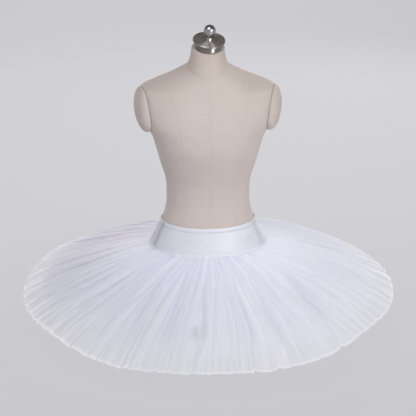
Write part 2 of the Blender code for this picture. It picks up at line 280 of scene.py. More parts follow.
# %% [markdown]
# ## Surfaces from grids of points
#
# Everything sewn or turned here is a grid: rows go round the piece, columns go along it.  One
# helper turns such a grid into a mesh, and lays cloth coordinates in metres over it so that
# threads keep their size.  A thickness is a Solidify wall, as thin as the real cloth.

# %% sums on grids of points
def spread(*values):
    """Values spread over one grid and stacked, such as the x, y and z of its points."""
    return np.stack(np.broadcast_arrays(*values), axis=-1)


def closed_rows(values):
    """Rows that come back to their first column."""
    return np.concatenate((values, values[:, :1]), axis=1)


def distance_along(line):
    """Distance along a line of points from its first one."""
    steps = np.linalg.norm(np.diff(line, axis=0), axis=1)
    return np.concatenate(([0], np.cumsum(steps)))


def bell(value, middle, width):
    """1 at the middle, dying away over the width to both sides."""
    return np.exp(-((value - middle) / width) ** 2)


def rising(value, start, length):
    """0 up to the start, then an even rise to 1 over the length, which may be negative."""
    return np.clip((value - start) / length, 0, 1)


def along_rows(points):
    """Distance along each row from its first column, with the closing span added."""
    return np.array([distance_along(row) for row in closed_rows(points)])


def smooth_rows(table, at):
    """Rows of a table read at many values of its first column, along smooth curves."""
    at = np.asarray(at, dtype=float)
    known = table[:, 0]
    slopes = np.gradient(table, known, axis=0)
    row = np.clip(np.searchsorted(known, at, side="right") - 1, 0, len(known) - 2)
    span = (known[row + 1] - known[row])[..., None]
    t = (at[..., None] - table[row, 0][..., None]) / span
    value = (2 * t**3 - 3 * t**2 + 1) * table[row] + (3 * t**2 - 2 * t**3) * table[row + 1]
    value += (t**3 - 2 * t**2 + t) * span * slopes[row] + (t**3 - t**2) * span * slopes[row + 1]
    return value

print("a step of 3 across and 4 up is", distance_along(np.array(((0, 0), (3, 4))))[-1], "long")

# %% pieces from grids
def grid_piece(name, node, points, cloth, finish, closed=True, caps=False, painted=None):
    """A mesh from points (rows, columns, xyz) and cloth coordinates (rows, spans + 1, 2)."""
    rows, columns = points.shape[:2]
    number = np.arange(rows * columns).reshape(rows, columns)
    after = np.roll(number, -1, axis=1)
    spans = columns if closed else columns - 1
    quads = np.stack((number[:-1], after[:-1], after[1:], number[1:]), axis=-1)[:, :spans]
    faces = quads.reshape(-1, 4).tolist()
    corners = np.stack((cloth[:-1, :-1], cloth[:-1, 1:], cloth[1:, 1:], cloth[1:, :-1]), axis=2)
    flat = corners.reshape(-1, 2)
    if caps:
        faces += [number[0, ::-1].tolist(), number[-1].tolist()]
        flat = np.concatenate((flat, points[0, ::-1, :2], points[-1, :, :2]))
    mesh = bpy.data.meshes.new(name)
    mesh.from_pydata(points.reshape(-1, 3).tolist(), [], faces)
    layer = mesh.uv_layers.new(name="cloth")
    layer.data.foreach_set("uv", flat.ravel())
    for title, values in (painted or {}).items():
        attribute = mesh.attributes.new(title, "FLOAT", "POINT")
        full = np.array(np.broadcast_to(values, (rows, columns)), dtype=float)
        attribute.data.foreach_set("value", full.ravel())
    mesh.shade_smooth()
    mesh.materials.append(finish.material)
    piece = bpy.data.objects.new(name, mesh)
    bpy.context.scene.collection.objects.link(piece)
    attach(piece, "root")
    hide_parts(node)
    return piece


def crisp_columns(piece, columns, folded):
    """Keep the folds crisp: edges that run along the columns where folded is true."""
    ends = np.empty(len(piece.data.edges) * 2, dtype=int)
    piece.data.edges.foreach_get("vertices", ends)
    first, second = (ends.reshape(-1, 2) % columns).T
    sharp = piece.data.attributes.new("sharp_edge", "BOOLEAN", "EDGE")
    sharp.data.foreach_set("value", (first == second) & folded[first])


def wall(piece, thickness):
    """Give a sheet its thickness, into the body of the piece."""
    made = piece.modifiers.new("wall", "SOLIDIFY")
    made.thickness = thickness
    made.offset = -1
    made.use_even_offset = True

print("helpers for pieces: grid_piece, crisp_columns and wall")

# %% [markdown]
# ## The form's shape
#
# A padded dress form is a stack of rounded sections.  Each row of the table is one section: how
# high it is, how wide, how deep to the front and to the back, how square its corners are and
# how much it leans forward.  A finer stack of the same sections gives the same body without
# facets.

# %% sections of the form
FORM_SECTIONS = np.array((
    # height  half_width  front   back   squareness  tilt
    (0.0000,    0.1580,  0.1160, 0.1200,    2.20,    0.00),  # flat underside
    (0.0700,    0.1650,  0.1230, 0.1290,    2.20,    0.00),
    (0.1500,    0.1665,  0.1270, 0.1310,    2.20,    0.00),  # fullest hip
    (0.1900,    0.1635,  0.1255, 0.1285,    2.15,    0.00),
    (0.2265,    0.1575,  0.1225, 0.1230,    2.10,    0.00),  # lower edge of the basque
    (0.2600,    0.1425,  0.1095, 0.1080,    2.05,    0.00),
    (0.2970,    0.1262,  0.0945, 0.0935,    2.05,    0.00),  # upper edge of the waistband
    (0.3350,    0.1155,  0.0865, 0.0850,    2.05,    0.00),
    (0.3730,    0.1133,  0.0850, 0.0830,    2.05,    0.00),  # waist
    (0.4130,    0.1157,  0.0890, 0.0840,    2.10,    0.00),
    (0.4590,    0.1290,  0.1020, 0.0890,    2.15,    0.00),
    (0.5050,    0.1410,  0.1160, 0.0940,    2.20,    0.00),
    (0.5430,    0.1530,  0.1185, 0.0970,    2.25,    0.00),  # underarm
    (0.5750,    0.1725,  0.1140, 0.0980,    2.35,    0.00),
    (0.6065,    0.1815,  0.1060, 0.0970,    2.40,    0.00),
    (0.6400,    0.1860,  0.0940, 0.0920,    2.40,    0.04),
    (0.6580,    0.1840,  0.0870, 0.0870,    2.40,    0.09),
    (0.6700,    0.1750,  0.0830, 0.0830,    2.35,    0.13),  # shoulder point
    (0.6800,    0.1520,  0.0780, 0.0780,    2.30,    0.19),
    (0.6900,    0.1210,  0.0730, 0.0730,    2.25,    0.24),
    (0.7000,    0.0920,  0.0690, 0.0680,    2.20,    0.29),
    (0.7110,    0.0680,  0.0650, 0.0620,    2.10,    0.33),
    (0.7200,    0.0570,  0.0625, 0.0575,    2.00,    0.35),
    (0.7290,    0.0525,  0.0600, 0.0540,    2.00,    0.35),  # root of the neck
    (0.7420,    0.0480,  0.0550, 0.0490,    2.00,    0.33),
    (0.7560,    0.0450,  0.0490, 0.0440,    2.00,    0.30),
    (0.7725,    0.0435,  0.0435, 0.0400,    2.00,    0.287),  # neck top
))
NECK_TOP = FORM_SECTIONS[-1, 0]
SHOULDER_REACH = 0.200              # half width at which the forward lean has died out
CENTRE_EASE = 0.010                 # rounds the tilt over the middle, where it would crease


def form_points(heights, turn, outward=0.0):
    """Points on the form, or on what is worn that far outside it, for rows of heights."""
    section = smooth_rows(FORM_SECTIONS, heights)
    half_width, front, back_depth, square, tilt = [section[..., i] for i in range(1, 6)]
    across, along = np.cos(turn), np.sin(turn)
    depth = np.where(along > 0, back_depth, front)
    power = 2 / square
    x = np.sign(across) * np.abs(across) ** power * (half_width + outward)
    y = np.sign(along) * np.abs(along) ** power * (depth + outward)
    from_middle = np.hypot(x, CENTRE_EASE) - CENTRE_EASE
    lean = tilt * np.maximum(0, 1 - from_middle / SHOULDER_REACH)
    return spread(x, y, heights + lean * y)


def form_radius(height, angle):
    """Distance from the axis to the form in one direction, at one level."""
    section = smooth_rows(FORM_SECTIONS, np.full(np.shape(angle), height))
    depth = np.where(np.sin(angle) > 0, section[..., 3], section[..., 2])
    across = np.abs(np.cos(angle)) / section[..., 1]
    along = np.abs(np.sin(angle)) / depth
    return (across ** section[..., 4] + along ** section[..., 4]) ** (-1 / section[..., 4])

print("form is", NECK_TOP, "m to the neck top and", 2 * FORM_SECTIONS[:, 1].max(), "m across")

# %% [markdown]
# ## Linen cover
#
# The cover is cut in eight panels, with seams at the centre front and back, down both sides and
# over the bust and shoulder blades.  It could be one skin with the seams painted on.  Here the
# grid's columns run along the seams instead, and the ones beside a seam are close to it, so
# the seam is a narrow groove that keeps straight.  The columns also carry a painted value for
# the seams, which the finish uses to darken the groove; the shoulder caps carry the same value
# all over, as painted shade.

# %% linen finish
linen = Finish("linen")
linen_slubs = linen.grain(0.0450, 0.0022, 3.0, 1.0)
linen_warp = linen.grain(0.0018, 0.0600, 3.0, 2.0)
linen_patches = linen.grain(0.1200, 0.1400, 1.5, 3.0)
linen_weave = linen.threads(0.0011, "X") * linen.threads(0.0011, "Y")
linen_shade = (linen_slubs * 0.34 + linen_warp * 0.30 + linen_patches * 0.22 + linen_weave * 0.14)
linen_seam = linen.worked("seam")
linen_colour = linen.blend(
    linen_shade.between(0.30, 0.70), (0.556, 0.479, 0.443, 1), (0.660, 0.583, 0.548, 1))
# Painted shade: the cover grows darker and browner from half a metre up to the shoulders and neck, most
# at the outer sides and at the very top.
linen_place = linen.node("TexCoord", {}, {}, 3)
linen_side = linen.node("SeparateXYZ", {}, {0: linen_place}, 0)
linen_up = linen.node("SeparateXYZ", {}, {0: linen_place}, 2)
linen_outer = (linen_side * linen_side).between(0.002, 0.012) * 0.6
linen_shade_strength = linen_outer + linen_up.between(0.68, 0.74) * 0.4 + 0.4
linen_painted_shade = linen_up.between(0.50, 0.76) ** 1.8 * linen_shade_strength
linen_colour = linen.blend(linen_painted_shade * 0.80, linen_colour, (0.470, 0.392, 0.338, 1))
# the seam value darkens the grooves, and on the caps it darkens the whole cap as painted shade
linen_colour = linen.blend(linen_seam * 0.07, linen_colour, (0.30, 0.245, 0.225, 1))
linen_height = linen_weave * 0.15 + linen_slubs * 0.34 + linen_warp * 0.30 - linen_seam * 0.3
linen.surface({
    "Base Color": linen_colour,
    "Roughness": 0.88 - linen_shade * 0.10,
    "Normal": linen.relief(linen_height, 0.0006),
    "Specular IOR Level": 0.22,
    "Sheen Weight": 0.12,
    "Sheen Roughness": 0.5,
})
print("linen:", len(linen.tree.nodes), "nodes")

# %% [markdown]
# The rows of the grid are spaced evenly along the outline, not by height, because the shoulders
# run almost level and would get too few.  The lowest and highest rows step in a little, which
# rounds the edge of the cover where it turns under the base and over the neck.

# %% seams of the cover
ROW_STEP = 0.0055
NECK_SEAM_HEIGHT = 0.722
PRINCESS_SEAM = np.array((
    # height  front x  back x: distance from the middle
    (0.000,   0.082,   0.080),
    (0.2265,  0.080,   0.076),
    (0.373,   0.066,   0.062),
    (0.475,   0.073,   0.066),
    (0.535,   0.078,   0.072),
    (0.585,   0.085,   0.078),
    (0.632,   0.0927,  0.086),
    (0.688,   0.105,   0.100),
    (0.773,   0.105,   0.100),
))
SEAM_DEPTH = 0.0003
SEAM_LIMIT = 0.87                   # of the half width, the furthest out a princess seam runs
BESIDE_SEAM = np.radians((0.7, 2.2))  # from a seam to the two columns beside it
PANELS = 8
PANEL_COLUMNS = 14
SEAM_SHARES = (1.0, 0.16, 0.0)      # of a seam's depth: at it, beside it and further off
SEAMS_END = 0.706                   # where the princess seams die out at the shoulder
NECK_SEAM_ROWS = (
    # above the seam  outward
    (-0.0016, 0.0), (-0.0006, -0.0003), (0.0, -0.0006), (0.0006, -0.0003), (0.0016, 0.0),
)
EDGE_ROWS = (
    # height  outward, where the cover turns under the base and over the neck
    (0.0, -0.0100), (0.0, -0.0030), (0.0006, -0.0012), (0.0024, 0.0), (NECK_TOP - 0.0020, 0.0),
    (NECK_TOP - 0.0006, -0.0008), (NECK_TOP, -0.0022), (NECK_TOP, -0.0080),
)
print("princess seams run from the underside to", SEAMS_END, "m up")

# %% torso cover

def torso_rows():
    """Heights of the cover's rows, and how far each steps out from the section."""
    dense = np.linspace(0.0, NECK_TOP, 3000)
    width = smooth_rows(FORM_SECTIONS, dense)[:, 1]
    length = distance_along(spread(width, dense))
    even = np.interp(np.arange(ROW_STEP, length[-1] - ROW_STEP / 2, ROW_STEP), length, dense)
    rows = [(height, 0.0) for height in even if abs(height - NECK_SEAM_HEIGHT) > 0.0022]
    rows += [(NECK_SEAM_HEIGHT + above, outward) for above, outward in NECK_SEAM_ROWS]
    rows += EDGE_ROWS
    return np.array(sorted(rows, key=lambda row: (row[0], row[1] if row[0] < 0.3 else -row[1])))


def seam_turns(heights):
    """Directions of the eight seams at each height, in radians, from the centre front on."""
    section = smooth_rows(FORM_SECTIONS, heights)
    place = smooth_rows(PRINCESS_SEAM, heights)[:, 1:] / section[:, 1:2]
    front, rear = np.arccos(np.minimum(SEAM_LIMIT, place) ** (section[:, 4:5] / 2)).T
    half, quarter = np.pi, np.pi / 2
    return spread(-quarter, -front, 0.0, rear, quarter, half - rear, half, half + front, 3 * quarter)


def torso_columns(heights):
    """Directions of all columns at each height, and how much of a seam each one is."""
    seams = seam_turns(heights).T
    near, wide = BESIDE_SEAM
    turns = []
    for start, end in zip(seams[:-1], seams[1:]):
        turns += [start, start + near]
        for place in np.linspace(0, 1, PANEL_COLUMNS - 3):
            turns.append(start + wide + (end - start - 2 * wide) * place)
        turns.append(end - near)
    at, beside, off = SEAM_SHARES
    panel = [at, beside] + [off] * (PANEL_COLUMNS - 3) + [beside]
    return np.stack(turns, axis=1), np.array(panel * PANELS)


torso_heights, torso_outward = torso_rows().T[..., None]
torso_turns, torso_seam = torso_columns(torso_heights[:, 0])
# The two columns before each princess seam, the one on it and the one after.
number = np.arange(len(torso_seam)) + 2
at_princess = (number // PANEL_COLUMNS % 2 == 1) & (number % PANEL_COLUMNS < 4)
torso_sunk = torso_seam * np.where(at_princess, rising(torso_heights, SEAMS_END, -0.012), 1.0)
torso_points = form_points(torso_heights, torso_turns, torso_outward - SEAM_DEPTH * torso_sunk)
torso_up = distance_along(torso_points[:, 2 * PANEL_COLUMNS])[:, None]
neck_line = 0.35 * bell(torso_heights, NECK_SEAM_HEIGHT, 0.0009)
torso = grid_piece(
    "linen_torso", "form_torso", torso_points, spread(along_rows(torso_points), torso_up),
    linen, caps=True, painted={"seam": np.maximum(torso_sunk, neck_line)})
print("torso cover:", len(torso_points), "rows of", len(torso_seam), "columns")

# %% [markdown]
# ## Shoulder caps
#
# Where the arms would be, the form is cut off flat and closed with a padded cap.  The torso's
# mesh is sliced along the same slanted plane, and the outline of the cut is the first ring of
# the cap.  A stuffed cap pulls in at its seam, swells and then rounds over, so the rings narrow
# a little at the start, too.

# %% cut the arm openings
ARM_OPENING_LOW = (0.1604, 0.543)   # half width and height of the plane, over the side
ARM_OPENING_HIGH = (0.1756, 0.670)
ARM_OPENING_TURN = 0.20             # how steeply it runs in towards the front
CAP_BULGE = 0.0290
CAP_ROUNDNESS = (2.7, 1.8)          # at the cap's lower and upper end
CAP_RINGS = 22
CAP_COLUMNS = 96
CAP_GAP = 0.0003
CAP_PAINTED_SHADE = 0.8                      # painted shade: the caps are a little darker all over
CAP_SEAM = (1.6, 1.2)               # and most along the seam, in the two outermost rings
ABOVE_WAIST = 0.42                  # only the cover above this is cut


def arm_plane(side):
    """A point on the plane of an arm opening, and the plane's outward normal."""
    (low_x, low_z), (high_x, high_z) = ARM_OPENING_LOW, ARM_OPENING_HIGH
    rise = high_z - low_z
    normal = Vector((side * rise, -ARM_OPENING_TURN * rise, low_x - high_x)).normalized()
    return Vector((side * low_x, 0, low_z)), normal


def cut_opening(shape, side):
    """Slice the cover off at one arm opening and return the outline of the cut, in order."""
    point, normal = arm_plane(side)
    faces = [f for f in shape.faces if f.calc_center_median().z > ABOVE_WAIST]
    geometry = list({part for face in faces for part in (face, *face.edges, *face.verts)})
    cut = bmesh.ops.bisect_plane(
        shape, geom=geometry, plane_co=point, plane_no=normal, clear_outer=True, dist=1e-6)
    edges = [e for e in cut["geom_cut"] if isinstance(e, bmesh.types.BMEdge) and e.is_boundary]
    outline = {v for e in edges for v in e.verts}
    bmesh.ops.contextual_create(shape, geom=edges)
    upward = normal.cross(Vector((0, 1, 0))).normalized()
    forward = normal.cross(upward)
    centre = sum((v.co for v in outline), Vector()) / len(outline)
    return sorted((v.co.copy() for v in outline),
                  key=lambda p: math.atan2((p - centre).dot(forward), (p - centre).dot(upward)))


print("the left arm opening faces", [round(v, 3) for v in arm_plane(1)[1]])

# %% shoulder caps
def cap_profile(ring):
    """Share of the opening's size and distance out, from the seam to near the tip."""
    low = np.interp(ring[:, 2], (ring[:, 2].min(), ring[:, 2].max()), (0, 1))[:, None]
    full, elliptic = CAP_ROUNDNESS
    power = 2 / (full + (elliptic - full) * low)
    rows = [(0.955, 0.0), (0.978, 0.0008), (0.992, 0.0022)]
    for turn in np.linspace(math.radians(12), math.radians(87), CAP_RINGS):
        rows.append((math.cos(turn) ** power, CAP_BULGE * math.sin(turn) ** power))
    return rows + [(0.02, CAP_BULGE)]


def make_cap(name, node, side, outline):
    """A stuffed cap: rings of the opening's outline that swell and then close over it."""
    out = np.array(arm_plane(side)[1])
    loop = np.array(outline)[::side]
    middle = loop.mean(axis=0)
    closed = np.concatenate((loop, loop[:1]))
    place = distance_along(closed)
    even = np.linspace(0, place[-1], CAP_COLUMNS, endpoint=False)
    ring = np.stack([np.interp(even, place, axis) for axis in closed.T], axis=1)
    points = np.array([middle + (ring - middle) * size + out * (CAP_GAP + away)
                       for size, away in cap_profile(ring)])
    cloth = closed_rows(spread(points[..., 1], points @ np.cross(out, (0, 1, 0))))
    # painted shade over the whole cap, darker still in the two rings at its seam
    seam = np.full((len(points), 1), CAP_PAINTED_SHADE)
    seam[:2, 0] = CAP_SEAM
    grid_piece(name, node, points, cloth, linen, caps=True, painted={"seam": seam})


shape = bmesh.new()
shape.from_mesh(torso.data)
arm_outlines = {side: cut_opening(shape, side) for side in (-1, 1)}
shape.to_mesh(torso.data)
shape.free()
torso.data.shade_smooth()
torso.data.set_sharp_from_angle(angle=math.radians(50))
for hand, side in (("left", 1), ("right", -1)):
    make_cap("linen_cap_" + hand, "form_cap_" + hand, side, arm_outlines[side])
print("arm openings have", [len(o) for o in arm_outlines.values()], "points")

# %% [markdown]
# ## The turned neck
#
# The neck ends in a brushed collar with a wider plate on it, and a polished ball on a short
# stem.  All are turned on a lathe, so one profile spun round an axis makes each.  The brush
# marks run round the axis too: the noise is drawn out along the turn and is fine along the
# profile.

# %% metal finishes
steel = Finish("brushed_steel")
steel_marks = steel.grain(0.0600, 0.00045, 4.0, 5.0)
steel_rings = steel.grain(0.2500, 0.0036, 2.0, 8.0)
steel_stain = steel.grain(0.0300, 0.0100, 2.0, 6.0)
steel_tone = (steel_marks * 0.4 + steel_rings * 0.6).between(0.35, 0.65)
steel_dull = steel.blend(steel_tone, (0.238, 0.213, 0.194, 1), (0.448, 0.418, 0.384, 1))
# painted highlights: bright strips on the collar and an arc on the plate's lip
steel_bright = steel.worked("bright")
steel.surface({
    "Base Color": steel.blend(steel_bright, steel_dull, (0.960, 0.945, 0.925, 1)),
    "Metallic": 0.72 + steel_bright * 0.28,
    "Anisotropic": 1.0,
    "Anisotropic Rotation": 0.25,
    "Roughness": 0.50 + steel_marks * 0.10 + steel_stain * 0.06,
    "Normal": steel.relief(steel_marks, 0.00012),
})

chrome = Finish("chrome")
chrome_haze = chrome.grain(0.0080, 0.0080, 3.0, 7.0)
chrome_dull = chrome.blend(chrome_haze, (0.35, 0.340, 0.330, 1), (0.46, 0.450, 0.440, 1))
# painted reflections on the ball, from the same painted value as the steel's highlights
chrome.surface({
    "Base Color": chrome.blend(chrome.worked("bright"), chrome_dull, (0.960, 0.955, 0.945, 1)),
    "Metallic": 1.0,
    "Roughness": 0.19 + chrome_haze * 0.07,
})
print("steel:", len(steel.tree.nodes), "nodes, chrome:", len(chrome.tree.nodes), "nodes")

# %% the lathe
NECK_TILT = math.atan(0.287)
NECK_LEAN = math.radians(3.0)
NECK_CENTRE = (0.001, -0.003)
COLLAR_RADIUS = 0.0365
COLLAR_HEIGHT = 0.0165
PLATE_RADIUS = 0.0425
PLATE_THICKNESS = 0.0045
STEM_RADIUS = 0.007
STEM_LENGTH = 0.0105
BALL_RADIUS = 0.016
PART_GAP = 0.0003
TURNED_COLUMNS = 96
BRUSH_RADIUS = 0.03                 # at which the brush marks keep their length
PAINTED_HIGHLIGHT_STRIPS = (
    # degrees  half width  strength of the painted highlight strips on the collar
    (285, 8, 1.0), (104, 6, 0.8), (197, 4, 0.5), (22, 5, 0.5),
)
# painted reflection arcs on the ball
PAINTED_REFLECTION_ARCS = (
    # degrees  width  share of the ball's radius above its centre  height  strength
    (245, 40, -0.42, 0.24, 1.3),
    (281, 15, -0.05, 0.42, 0.7),
    (70, 40, -0.40, 0.25, 0.8),
)
STEM_PROFILE = (
    # radius  height: a foot with a rounded rim, then a waist
    (0.0005, -0.0006), (0.0098, -0.0006), (0.0102, 0.0002), (0.0098, 0.0010), (0.0084, 0.0026),
    (0.0070, 0.0046), (0.0060, 0.0066), (0.0061, 0.0084), (STEM_RADIUS, 0.0098),
)

neck_turn = Euler((NECK_TILT, NECK_LEAN, 0), "XYZ").to_matrix()
neck_axis = neck_turn @ Vector((0, 0, 1))
neck_top = Vector((*NECK_CENTRE, NECK_TOP + FORM_SECTIONS[-1, 5] * NECK_CENTRE[1]))
collar_lift = PART_GAP + COLLAR_RADIUS * math.sin(NECK_LEAN)
turned_degrees = np.arange(TURNED_COLUMNS) * 360 / TURNED_COLUMNS


def turned(name, node, profile, lift, finish, bright):
    """Spin points of (radius, height) round the neck's axis, from the lowest ring up."""
    turn = np.linspace(0, math.tau, TURNED_COLUMNS, endpoint=False)
    radius, height = np.array(profile).T[..., None]
    own = spread(radius * np.cos(turn), radius * np.sin(turn), height)
    points = own @ np.array(neck_turn).T + np.array(neck_top + neck_axis * lift)
    round_it = np.linspace(0, math.tau * BRUSH_RADIUS, TURNED_COLUMNS + 1)
    cloth = spread(round_it, distance_along(profile)[:, None])
    # the painted highlights or painted reflections of the piece
    painted = {"bright": bright(radius, height)}
    piece = grid_piece(name, node, points, cloth, finish, caps=True, painted=painted)
    piece.data.set_sharp_from_angle(angle=math.radians(35))


def corner(radius, height, size, start, steps=4):
    """A quarter round at an edge, as (radius, height) points from one angle on."""
    turn = np.radians(np.linspace(start, start + 90, steps))
    return [(radius + size * math.cos(t), height + size * math.sin(t)) for t in turn]


print("neck leans", round(math.degrees(NECK_TILT), 1), "degrees forward")

# %% collar and plate
plate_top = COLLAR_HEIGHT + PLATE_THICKNESS
plate_profile = [(0.001, 0.0), (COLLAR_RADIUS - 0.0006, 0.0), (COLLAR_RADIUS, 0.0006)]
plate_profile += [(COLLAR_RADIUS, z) for z in np.linspace(0.003, COLLAR_HEIGHT - 0.003, 6)]
plate_profile += [(COLLAR_RADIUS, COLLAR_HEIGHT)]
plate_profile += corner(PLATE_RADIUS - 0.0010, COLLAR_HEIGHT + 0.0010, 0.0010, -90)
plate_profile += corner(PLATE_RADIUS - 0.0012, plate_top - 0.0012, 0.0012, 0)
plate_profile += [(r, plate_top - 0.0004) for r in (0.0405, 0.0395)]
plate_profile += [(r, plate_top - 0.0006) for r in np.linspace(0.0385, 0.001, 12)]


def bright_strips(radius, height):
    """Painted highlights on the dull steel: strips on the collar, an arc on the lip."""
    collar = (height < plate_top - 0.0012) & (radius > COLLAR_RADIUS - 0.0002)
    lip = (height > plate_top - 0.0013) & (radius > 0.0400)
    strips = np.zeros_like(turned_degrees)
    for middle, half_width, strength in PAINTED_HIGHLIGHT_STRIPS:
        away = np.abs(turned_degrees - middle) / half_width
        strips += strength * np.clip(1.6 - 1.6 * away, 0, 1)
    arc = bell(turned_degrees, 246, 18) + 0.6 * bell(turned_degrees, 70, 22)
    return collar * strips + lip * arc


turned("steel_neck_plate", "neck_plate", plate_profile, collar_lift, steel, bright_strips)
print("plate is turned from", len(plate_profile), "rings")

# %% ball on its stem
ball_centre = STEM_LENGTH + math.sqrt(BALL_RADIUS**2 - STEM_RADIUS**2)
lowest = math.asin(STEM_RADIUS / BALL_RADIUS)
knob_profile = list(STEM_PROFILE)
for turn in np.linspace(math.pi - lowest, 0.03, 40):
    knob_profile.append((BALL_RADIUS * math.sin(turn), ball_centre + BALL_RADIUS * math.cos(turn)))


def bright_arcs(radius, height):
    """Painted reflections on the ball: an arc low on its left, and a band down its front."""
    up = (height - ball_centre) / BALL_RADIUS
    arcs = np.zeros_like(up * turned_degrees)
    for middle, width, level, tall, strength in PAINTED_REFLECTION_ARCS:
        arcs += bell(turned_degrees, middle, width) * bell(up, level, tall) * strength
    return np.minimum(arcs, 1.0) * (height > STEM_PROFILE[-1][1])


knob_lift = collar_lift + plate_top + PART_GAP
turned("chrome_knob", "neck_knob", knob_profile, knob_lift, chrome, bright_arcs)
print("ball and stem are turned from", len(knob_profile), "rings")

# %% [markdown]
# ## Satin basque and waistband
#
# The basque is the smooth band from the waist to the net.  It is cut as a front and a back
# panel, closed at the sides, with an elastic casing on top and its lower edge folded under.
# Satin this tight has few folds, so each one is placed: a line from one point on the band to
# another, a width and a height.  The casing gets fine ripples, since elastic draws it in.

# %% satin finish
satin = Finish("satin")
satin_floats = satin.grain(0.0009, 0.0240, 3.0, 11.0)
satin_weft = satin.grain(0.0300, 0.0014, 2.0, 12.0)
satin_cloud = satin.grain(0.0500, 0.0300, 2.0, 13.0)
satin_shade = satin_floats * 0.35 + satin_weft * 0.25 + satin_cloud * 0.40
satin_stitch = satin.worked("stitch")
satin_edge_highlight = satin.worked("edge")
satin_side_shade = satin.worked("turned")
satin_colour = satin.blend(
    satin_shade.between(0.3, 0.7), (0.662, 0.674, 0.748, 1), (0.738, 0.752, 0.816, 1))
# painted shade at the sides of the band
satin_colour = satin.blend(satin_side_shade * 0.60, satin_colour, (0.400, 0.410, 0.470, 1))
# painted highlight along the welt's folded edge and the casing's top edge
satin_colour = satin.blend(satin_edge_highlight * 0.60, satin_colour, (0.800, 0.805, 0.860, 1))
satin_colour = satin.blend(satin_stitch * 0.08, satin_colour, (0.50, 0.51, 0.60, 1))
satin_height = satin_floats * 0.5 + satin_weft * 0.3 - satin_stitch * 0.4
satin.surface({
    "Base Color": satin_colour,
    "Roughness": 0.36 + satin_shade * 0.16,
    "Normal": satin.relief(satin_height, 0.0004),
    "Specular IOR Level": 0.55,
    "Sheen Weight": 0.10,
    "Sheen Roughness": 0.35,
})
print("satin:", len(satin.tree.nodes), "nodes")

# %% sizes of the band
BASQUE_BOTTOM = 0.2265
BASQUE_TOP = 0.2970
WAISTBAND_BOTTOM = BASQUE_TOP - 0.011
SEAM_GAP = 0.0003
EASE = 0.0005
SATIN = 0.0015
BAND_RADIUS = 0.145
FOLD_DEPTH = 0.0012                 # the deepest that a fold may sink in
WELT_LEVELS = np.array((-0.0010, 0.0004, 0.0020, 0.0040, 0.0060, 0.0068, 0.0076))
WELT_STITCH = 5                     # the row of the stitches, level with the welt's fold
WELT = np.array((
    # above the lower edge  outward
    (0.0000, 0.0002), (0.0006, 0.0007), (0.0020, 0.0010), (0.0060, 0.0007),
    (0.0068, 0.0003), (0.0076, 0.0003), (0.0120, 0.0000),
))
CASING = np.array((
    # above the casing's lower edge  outward
    (0.0000, -0.0002), (0.0004, 0.0000), (0.0012, 0.0003), (0.0030, 0.0005), (0.0050, 0.0006),
    (0.0070, 0.0006), (0.0090, 0.0005), (0.0102, 0.0008), (0.0108, 0.0004), (0.0110, -0.0002),
))
PAINTED_SIDE_SHADE = (
    # degrees  half width  strength of the painted shade at the side seams
    (198.5, 5.0, 1.1), (338, 7.0, 0.6), (19, 7.0, 0.7), (162, 6.0, 0.8),
)


print("band runs from", BASQUE_BOTTOM, "to", BASQUE_TOP, "m up")

# %% folds on the band
def fold_along(across, up, start, end, width, height):
    """Height of one fold that runs between two points, dying out at both ends."""
    start, end = np.array(start), np.array(end)
    run = end - start
    share = ((across - start[0]) * run[0] + (up - start[1]) * run[1]) / (run @ run)
    near = np.clip(share, 0, 1)
    away = np.hypot(across - start[0] - near * run[0], up - start[1] - near * run[1])
    dying = np.sin(np.pi * np.clip(share * 0.9 + 0.05, 0, 1)) ** 0.6
    return height * dying * bell(away, 0, width)


# A fold is (degrees, metres up) at its two ends, then its width and its height in metres.
BAND_FOLDS = (
    ((313, 0.2550), (331, 0.2740), 0.0030, 0.0013),
    ((318, 0.2530), (336, 0.2700), 0.0040, -0.0007),
    ((334, 0.2320), (340, 0.2820), 0.0090, 0.0016),
    ((343, 0.2320), (349, 0.2830), 0.0080, -0.0011),
    ((188, 0.2300), (184, 0.2820), 0.0080, -0.0010),
    ((198, 0.2320), (193, 0.2840), 0.0090, 0.0014),
    ((208, 0.2300), (205, 0.2760), 0.0060, -0.0006),
    ((222, 0.2800), (236, 0.2720), 0.0040, 0.0006),
    ((252, 0.2360), (276, 0.2330), 0.0050, 0.0005),
    ((284, 0.2410), (304, 0.2360), 0.0050, 0.0006),
    ((20, 0.2340), (14, 0.2800), 0.0070, 0.0012),
    ((33, 0.2640), (47, 0.2760), 0.0040, 0.0008),
    ((84, 0.2320), (80, 0.2780), 0.0070, 0.0009),
    ((103, 0.2400), (108, 0.2800), 0.0060, -0.0008),
    ((131, 0.2360), (120, 0.2700), 0.0050, 0.0009),
    ((160, 0.2320), (165, 0.2820), 0.0080, 0.0012),
)


def band_folds(points):
    """Folds, and the slack between them, at every point of the band."""
    across = np.arctan2(points[..., 1], points[..., 0]) % math.tau * BAND_RADIUS
    up = points[..., 2]
    height = np.zeros_like(up)
    for (start_turn, low), (end_turn, high), width, size in BAND_FOLDS:
        start = (math.radians(start_turn) * BAND_RADIUS, low)
        end = (math.radians(end_turn) * BAND_RADIUS, high)
        height += fold_along(across, up, start, end, width, size)
    height += 0.00025 * np.sin(across * 170 + up * 60) * np.sin(up * 190 + across * 21)
    return np.maximum(height, -FOLD_DEPTH)


print("band has", len(BAND_FOLDS), "placed folds")

# %% basque panels
def painted_side_shade(turns):
    """Painted shade: where the satin is darkened at the side seams."""
    degrees = np.degrees(turns) % 360
    return sum(strength * bell(degrees, middle, width) for middle, width, strength in PAINTED_SIDE_SHADE)


def sewn_band(name, node, turns, levels, outward, painted,
              closed=True, thickness=SATIN, radius=BAND_RADIUS):
    """A band of satin at levels and directions on the form, some way outside it."""
    across = np.append(turns, math.tau) if closed else turns
    points = form_points(levels, turns, outward)
    cloth = spread(across * radius, levels)
    piece = grid_piece(name, node, points, cloth, satin, closed=closed, painted=painted)
    wall(piece, thickness)


